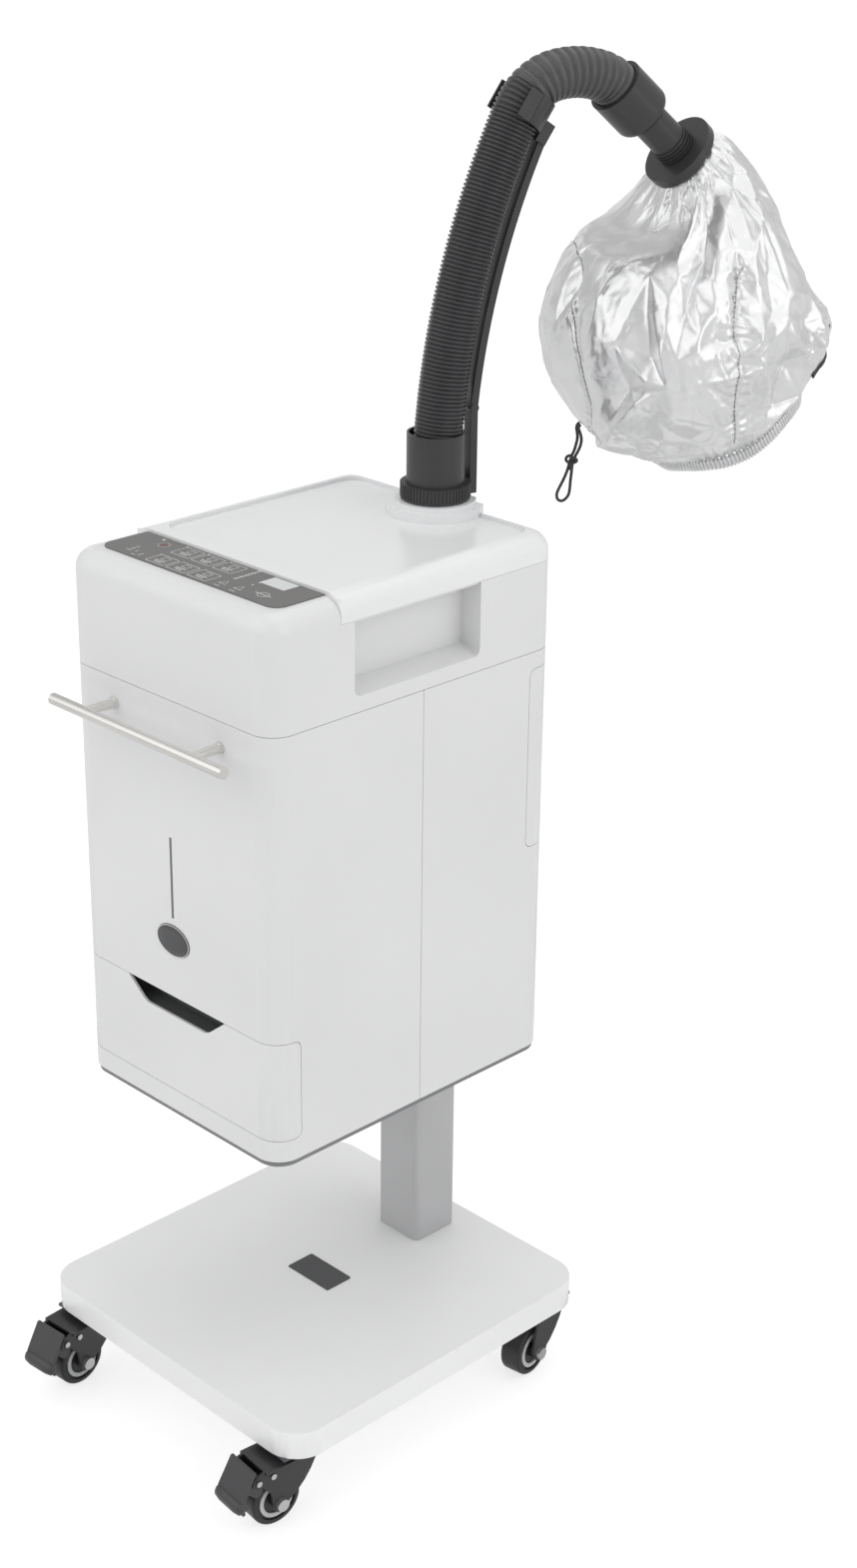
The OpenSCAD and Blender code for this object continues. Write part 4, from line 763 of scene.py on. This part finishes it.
def hoodPoint(angle, t, rise=0.0):
    # Millimetres in the arm's own frame; rise moves the point out along the section's radius
    row = sectionAt(t)
    a, b = np.radians(angle), np.radians(row[..., 2])
    fold = 0.022 * np.sin(np.radians(30 * t)) * (np.sin(7 * a) + 0.6 * np.sin(11 * a + np.radians(40 * t)))
    q = row[..., 3] * (1 + fold * np.where(np.asarray(t) < 5.4, 1, 0.5)) + rise
    return np.stack([q * np.sin(a), hood["neck"][0] + row[..., 0] - q * np.cos(a) * np.sin(b),
                     hood["neck"][1] + row[..., 1] + q * np.cos(a) * np.cos(b)], -1)


def toFrame(points):
    turn = math.radians(place["armTurn"])
    x = place["collarX"] + points[..., 0] * math.cos(turn) + points[..., 1] * math.sin(turn) - place["originX"]
    y = place["collarY"] - points[..., 0] * math.sin(turn) + points[..., 1] * math.cos(turn) - place["originY"]
    return np.stack([x, y, points[..., 2]], -1) / 1000


def nearPath(points, path, marks):
    # For each point: how far the path is, and the mark of its nearest place
    away, at = np.full(len(points), 1e9), np.zeros(len(points))
    for i in range(len(path) - 1):
        d = path[i + 1] - path[i]
        u = np.clip(((points - path[i]) @ d) / max(d @ d, 1e-9), 0, 1)
        gap = np.linalg.norm(points - path[i] - u[:, None] * d, axis=1)
        closer = gap < away
        away, at = np.where(closer, gap, away), np.where(closer, marks[i] + u * (marks[i + 1] - marks[i]), at)
    return away, at


def creaseHeights(points):
    # Sum of sharp ridges and valleys along each crease, in millimetres
    rng = np.random.default_rng(hood["seed"])
    lines = list(hood["creases"])
    hubs = [(rng.uniform(-118, 58), rng.uniform(0.9, 5.2)) for _ in range(hood["hiddenCreases"])]
    for k, (a, t) in enumerate(hubs):
        near = sorted(hubs, key=lambda h: abs(h[0] - a) * 1.6 + abs(h[1] - t) * 40)[1:3]
        for b, v in near:
            bend = ((a + b) / 2 + rng.uniform(-5, 5), (t + v) / 2 + rng.uniform(-0.2, 0.2))
            lines.append((rng.choice([-3.5, 3.5, 4.5]), rng.uniform(11, 19), [(a, t), bend, (b, v)]))
    total = np.zeros(len(points))
    for height, width, route in lines:
        route = [route[0], *route, route[-1]]
        steps = []
        for i in range(1, len(route) - 2):
            four = [np.array(route[i + k], float) for k in (-1, 0, 1, 2)]
            steps += [curve(*four, f) for f in np.linspace(0, 1, 7)]
        steps = np.array(steps)
        path = hoodPoint(steps[:, 0], np.clip(steps[:, 1], 0, 6))
        box = (points > path.min(0) - width).all(1) & (points < path.max(0) + width).all(1)
        near = points[box]
        if not len(near):
            continue
        away, at = nearPath(near, path, np.linspace(0, 1, len(path)))
        share = np.clip(1 - away / width, 0, 1)
        taper = np.clip(np.minimum(at, 1 - at) * 4, 0.3, 1)
        total[box] += hood["creaseRise"] * height * taper * share
    return total


def facetHeights(angle, t, level):
    # Points on the creases and between them, joined to triangles: the cloth lies flat inside each,
    # and folds sharply on some of the edges
    size, depth, fold = hood["facets"][level]
    rng = np.random.default_rng(hood["seed"] + 1 + level)
    wide, tall = 2.3, 45  # millimetres per degree and per section
    placed = np.zeros((0, 3))

    def room(a, v, gap):
        return not len(placed) or (np.hypot(((placed[:, 0] - a + 180) % 360 - 180) * wide,
                                            (placed[:, 1] - v) * tall) > gap).all()

    if level == 0:
        for height, _, route in hood["creases"]:
            for a, v in route:
                if room(a, v, 9):
                    placed = np.vstack([placed, (a, v, height * hood["creasePoints"])])
    for _ in range(2600 if level == 0 else 9000):
        a, v = rng.uniform(0, 360), rng.uniform(0.4, 5.6)
        if room(a, v, size * (0.62 if v < 1.5 else 0.8)):
            placed = np.vstack([placed, (a, v, rng.uniform(-1, 0.8) * depth)])
    ends = [row for a in range(0, 360, 30) for row in ((a, -0.6, 0), (a + 15, 6.6, 0))]
    spread = [(a + turn, v, h) for a, v, h in [*placed, *ends] for turn in (-360, 0, 360) if -70 < a + turn < 430]
    made = geometry.delaunay_2d_cdt([Vector((a * wide, v * tall)) for a, v, _ in spread], [], [], 0, 1e-5)
    spots = np.array([tuple(q) for q in made[0]])
    heights = [spread[source[0]][2] if source else 0 for source in made[3]]
    x, y = (angle * wide).ravel(), (t * tall).ravel()
    out = np.zeros(len(x))
    for corners in made[2]:
        c = spots[list(corners)]
        area = (c[1][0] - c[0][0]) * (c[2][1] - c[0][1]) - (c[1][1] - c[0][1]) * (c[2][0] - c[0][0])
        if abs(area) < 1e-9:
            continue
        low, high = c.min(axis=0), c.max(axis=0)
        box = ((x >= low[0]) & (x <= high[0]) & (y >= low[1]) & (y <= high[1])).nonzero()[0]
        share, ridge = [], 0
        for i in range(3):
            p, q = c[(i + 1) % 3], c[(i + 2) % 3]
            part = ((p[0] - x[box]) * (q[1] - y[box]) - (q[0] - x[box]) * (p[1] - y[box])) / area
            share.append(part)
            fromEdge = part * abs(area) / np.linalg.norm(q - p)
            strength = math.sin(12.9898 * (p[0] % 828 + q[0] % 828) + 7.233 * (p[1] + q[1]))
            ridge = ridge + fold * strength * np.exp(-((fromEdge / 1.9) ** 2))
        inside = (share[0] >= -1e-9) & (share[1] >= -1e-9) & (share[2] >= -1e-9)
        flat = sum(part * heights[corner] for part, corner in zip(share, corners))
        out[box[inside]] = (flat + ridge)[inside]
    return out.reshape(angle.shape)


def gathers(angle, count, shift, along=0.0):
    # Uneven pleats round the hood, -1 to 1
    r = count / 6.28
    a = np.radians(np.asarray(angle, float)).ravel()
    depth = np.broadcast_to(np.asarray(along, float), np.shape(angle)).ravel()
    field = [noise.noise(Vector((math.cos(u) * r, math.sin(u) * r, shift + v))) for u, v in zip(a, depth)]
    return np.clip(np.array(field).reshape(np.shape(angle)) * 2.2, -1, 1)


def pleats(angle, count):
    # Close, nearly regular pleats, -1 to 1, with narrow valleys
    jitter = gathers(angle, 30, 4) * 1.1 + gathers(angle, 9, 6)
    return 1 - 2 * abs(np.cos(math.pi * count * np.asarray(angle, float) / 360 + jitter)) ** 3


def puckers(points):
    # Small cross wrinkles and a groove along each seam
    total = np.zeros(len(points))
    for height, route in hood["seams"]:
        route = np.array(smoothLine([np.array(p, float) for p in route], 8))
        path = hoodPoint(route[:, 0], route[:, 1])
        long = np.concatenate([[0], np.cumsum(np.linalg.norm(np.diff(path, axis=0), axis=1))])
        away, at = nearPath(points, path, long)
        wave = np.sin(at / 1.9 + 2.2 * np.sin(at / 9.3)) * np.exp(-(away / 11) ** 2) * np.clip(away / 3, 0.2, 1)
        total += height * wave - 2.2 * np.exp(-(away / 1.8) ** 2)
    return total


def softened(field, times):
    # Mean with the neighbours; the first and last column touch
    for _ in range(times):
        across = (np.roll(field, 1, 1) + np.roll(field, -1, 1) + 2 * field) / 4
        field = np.vstack([across[:1], (across[:-2] + across[2:] + 2 * across[1:-1]) / 4, across[-1:]])
    return field


def standOff(base):
    total = np.zeros(base.shape[:-1])
    for a, v, rise, reach in hood["bulges"]:
        middle = hoodPoint(np.array(float(a)), np.array(float(v)))
        total += rise * np.exp(-((np.linalg.norm(base - middle, axis=-1) / reach) ** 2))
    return total


def turnedUnder(angle):
    # 0 where the hem's ruffles show, 1 where they have turned under
    middle, half = hood["ruffles"]
    return np.clip((abs((angle - middle + 180) % 360 - 180) - half) / 18, 0, 1)


def makeHood():
    around, down = hood["around"], hood["down"]
    angle, t = np.meshgrid(np.arange(around) * 360 / around, np.linspace(0, 1, down + 1) * 6)
    base = hoodPoint(angle, t)
    flat = base.reshape(-1, 3)
    creases = creaseHeights(flat).reshape(angle.shape)
    wander = np.array([noise.noise(Vector(p) * 0.02) for p in flat]).reshape(angle.shape)
    small = facetHeights(angle, t, 1) * np.clip(0.6 + 1.6 * wander, 0.1, 1.2)
    facets = softened(facetHeights(angle, t, 0) + small, 1)
    neckFade, hemFade = np.exp(-t / 0.28), np.exp(-(6 - t) / 0.42)
    body = (creases + facets) * (1 - neckFade) * (1 - 0.75 * hemFade) + standOff(base) * (1 - neckFade)
    body += puckers(flat).reshape(angle.shape) * (1 - 0.8 * hemFade) + 1.2 * wander
    neck = gathers(angle, hood["neckGathers"], 3, t * 0.6) * 3 * np.exp(-((t - 0.4) / 0.5) ** 2)
    showing = 1 - turnedUnder(angle)
    reach = 0.22 + 0.16 * gathers(angle, 40, 9)
    hem = gathers(angle, 30, 8) * 1.5 * hemFade
    hem = hem + pleats(angle, 95) * 1.5 * np.exp(-(6 - t) / reach) * (0.3 + 0.7 * showing)
    rise = body + neck + hem
    rise[0] = -0.6
    hood["relief"] = rise
    points = toFrame(hoodPoint(angle, t, rise)).reshape(-1, 3)
    faces = []
    for i in range(down):
        faces += ringFaces(i * around, (i + 1) * around, around)
    obj = makePiece("hoodCloth", points, faces, silverCloth)
    thick = obj.modifiers.new("thick", "SOLIDIFY")
    thick.thickness, thick.offset = hood["thickness"], -1
    return obj


hoodCloth = makeHood()
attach(hoodCloth, "hood")
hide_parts("hood")


def onCloth(angle, t, lift=0.0):
    # Point on the cloth with its folds, in the shared frame
    around, down = hood["around"], hood["down"]
    x, y = (angle % 360) / 360 * around, min(max(t, 0), 6) / 6 * down
    i, j = int(x), min(int(y), down - 1)
    u, v, relief = x - i, y - j, hood["relief"]
    rise = sum(relief[j + b, (i + a) % around] * (u if a else 1 - u) * (v if b else 1 - v)
               for a in (0, 1) for b in (0, 1))
    return Vector(toFrame(hoodPoint(np.array(float(angle)), np.array(float(t)), rise + lift)))


def makeSeams():
    # Stitches in the grooves, and the black binding at the right
    faces, points, stitch = [], [], hood["stitch"]
    for _, route in hood["seams"]:
        path = [onCloth(a, v, 0.5) for a, v in smoothLine([np.array(q, float) for q in route], 60)]
        long, start = 0, None
        for first, second in zip(path, path[1:]):
            inStitch = (long % stitch["pitch"]) < stitch["length"]
            if inStitch and start is None:
                start = first
            if not inStitch and start is not None:
                along, base = (first - start).normalized(), len(points)
                made, sides = tube([ringAround(spot, along, (0.2, 0.4, 0.9), stitch["radius"], 6)
                                    for spot in (start, first)])
                points += made
                faces += [tuple(base + k for k in face) for face in sides]
                start = None
            long += (second - first).length
    stitches = makePiece("hoodStitches", points, faces, threadGrey)
    edge = hood["binding"]
    path = smoothLine([np.array(q, float) for q in edge["route"]], 24)
    rings = []
    for i, (a, v) in enumerate(path):
        ahead = np.array(path[min(i + 1, len(path) - 1)]) - np.array(path[max(i - 1, 0)])
        along = (onCloth(a + ahead[0], v + ahead[1]) - onCloth(a - ahead[0], v - ahead[1])).normalized()
        out = (onCloth(a, v, 8) - onCloth(a, v)).normalized()
        side = along.cross(out).normalized()
        middle = onCloth(a, v, 1.2)
        rings.append([middle + side * edge["width"] / 2000 * math.cos(b) + out * 0.0016 * math.sin(b)
                      for b in (2 * math.pi * j / 14 for j in range(14))])
    made, sides = tube(rings)
    binding = makePiece("hoodBinding", made, sides, bindingBlack)
    for piece in (stitches, binding):
        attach(piece, "hood")
    return [stitches, binding]


def makeHem():
    # Elastic casing gathered into close, uneven ruffles that go on from the cloth's own
    around = hood["hemAround"]
    angle = np.arange(around) * 360 / around
    wave, lay = gathers(angle, 30, 8), gathers(angle, 9, 5)
    fine = pleats(angle, hood["hemPleats"])
    tilt = math.radians(hood["sections"][-1][2])
    under = turnedUnder(angle)
    edge = hoodPoint(angle, np.full(around, 6.0))
    shift = standOff(edge) - 7 * under
    rings = []
    for out, drop, swell in hood["casing"]:
        rise = out + shift + wave * swell * 0.7 + fine * 1.7 * (1 - 0.6 * under) + lay
        p = hoodPoint(angle, np.full(around, 6.0), rise)
        p[:, 1] += (drop * (1 - 0.7 * under) + lay * 1.5) * math.cos(tilt)
        p[:, 2] += (drop * (1 - 0.7 * under) + lay * 1.5) * math.sin(tilt)
        rings.append([Vector(q) for q in toFrame(p)])
    points, faces = tube(rings, closedEnds=False)
    faces += ringFaces((len(rings) - 1) * around, 0, around)
    return makePiece("hoodHem", points, faces, silverCloth)


hoodHem = makeHem()
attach(hoodHem, "hood")
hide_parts("hood_hem")
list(makeSeams())
print("hood, cloth area", round(sum(p.area for p in hoodCloth.data.polygons), 3))


# Stage and light
lighting = {
    # soft boxes: where each stands, what it faces, its width, height and power
    "boxes": {"keyLight": ((-1.8, -4.6, 4.0), (0, 0, 0.8), 8.0, 6.0, 105),
              "fillLight": ((3.9, 0.6, 2.6), (0, 0, 0.8), 4.0, 4.0, 36),
              "topLight": ((0.3, 1.2, 4.2), (0, 0.1, 0.8), 4.4, 3.6, 30)},
    "surround": 0.8, "floorShare": 0.6, "floorGlow": 1.2, "floorSize": 40,
    # what shiny things mirror: dark and light patches of the room and of the floor
    "patches": (0.42, 0.86), "patchSize": 3.4, "floorPatches": (0.5, 0.98), "floorPatchSize": 2.2, "patchEdge": 5,
}


def makeStage():
    size = lighting["floorSize"]
    f = Finish("floorPaper")
    corners = [(-size, -size, 0), (size, -size, 0), (size, size, 0), (-size, size, 0)]
    floor = makePiece("floor", corners, [(0, 1, 2, 3)], f.material)
    w = Finish("surround", world=True)
    bpy.context.scene.world = w.material

    def ray(tree, kind):
        return tree.node("ShaderNodeLightPath", out=kind)

    def flat(tree, kind, strength):
        return tree.node(kind, {}, {"Color": (1, 1, 1, 1), "Strength": strength})

    def patched(tree, kind, at, size, shades):
        share = ((tree.cloud(size, 1, at=at) - 0.5) * lighting["patchEdge"] + 0.5).least(1).most(0)
        return tree.mixed(share, flat(tree, kind, shades[0]), flat(tree, kind, shades[1]))

    paper = f.node("ShaderNodeBsdfDiffuse", {}, {"Color": (0.93, 0.93, 0.93, 1)})
    mirrored = patched(f, "ShaderNodeEmission", f.where(), lighting["floorPatchSize"], lighting["floorPatches"])
    glowing = flat(f, "ShaderNodeEmission", lighting["floorGlow"])
    shown = f.mixed(ray(f, "Is Camera Ray") * lighting["floorShare"],
                    f.mixed(ray(f, "Is Glossy Ray"), paper, mirrored), glowing)
    f.tree.links.new(shown.socket, f.output.inputs["Surface"])
    sky = "ShaderNodeBackground"
    around = w.node("ShaderNodeTexCoord", out="Generated")
    room = patched(w, sky, around, lighting["patchSize"], lighting["patches"])
    seen = w.mixed(ray(w, "Is Glossy Ray"), flat(w, sky, lighting["surround"]), room)
    shown = w.mixed(ray(w, "Is Camera Ray"), seen, flat(w, sky, 1.0))
    w.tree.links.new(shown.socket, w.output.inputs["Surface"])


def softBox(name, at, toward, width, height, power):
    data = bpy.data.lights.new(name, "AREA")
    data.shape, data.size, data.size_y, data.energy = "RECTANGLE", width, height, power
    obj = bpy.data.objects.new(name, data)
    bpy.context.scene.collection.objects.link(obj)
    obj.location = at
    obj.rotation_mode = "QUATERNION"
    obj.rotation_quaternion = (Vector(toward) - Vector(at)).to_track_quat("-Z", "Y")


makeStage()
for name, box in lighting["boxes"].items():
    softBox(name, *box)
bpy.context.scene.view_settings.view_transform = "Standard"
print("stage and light")
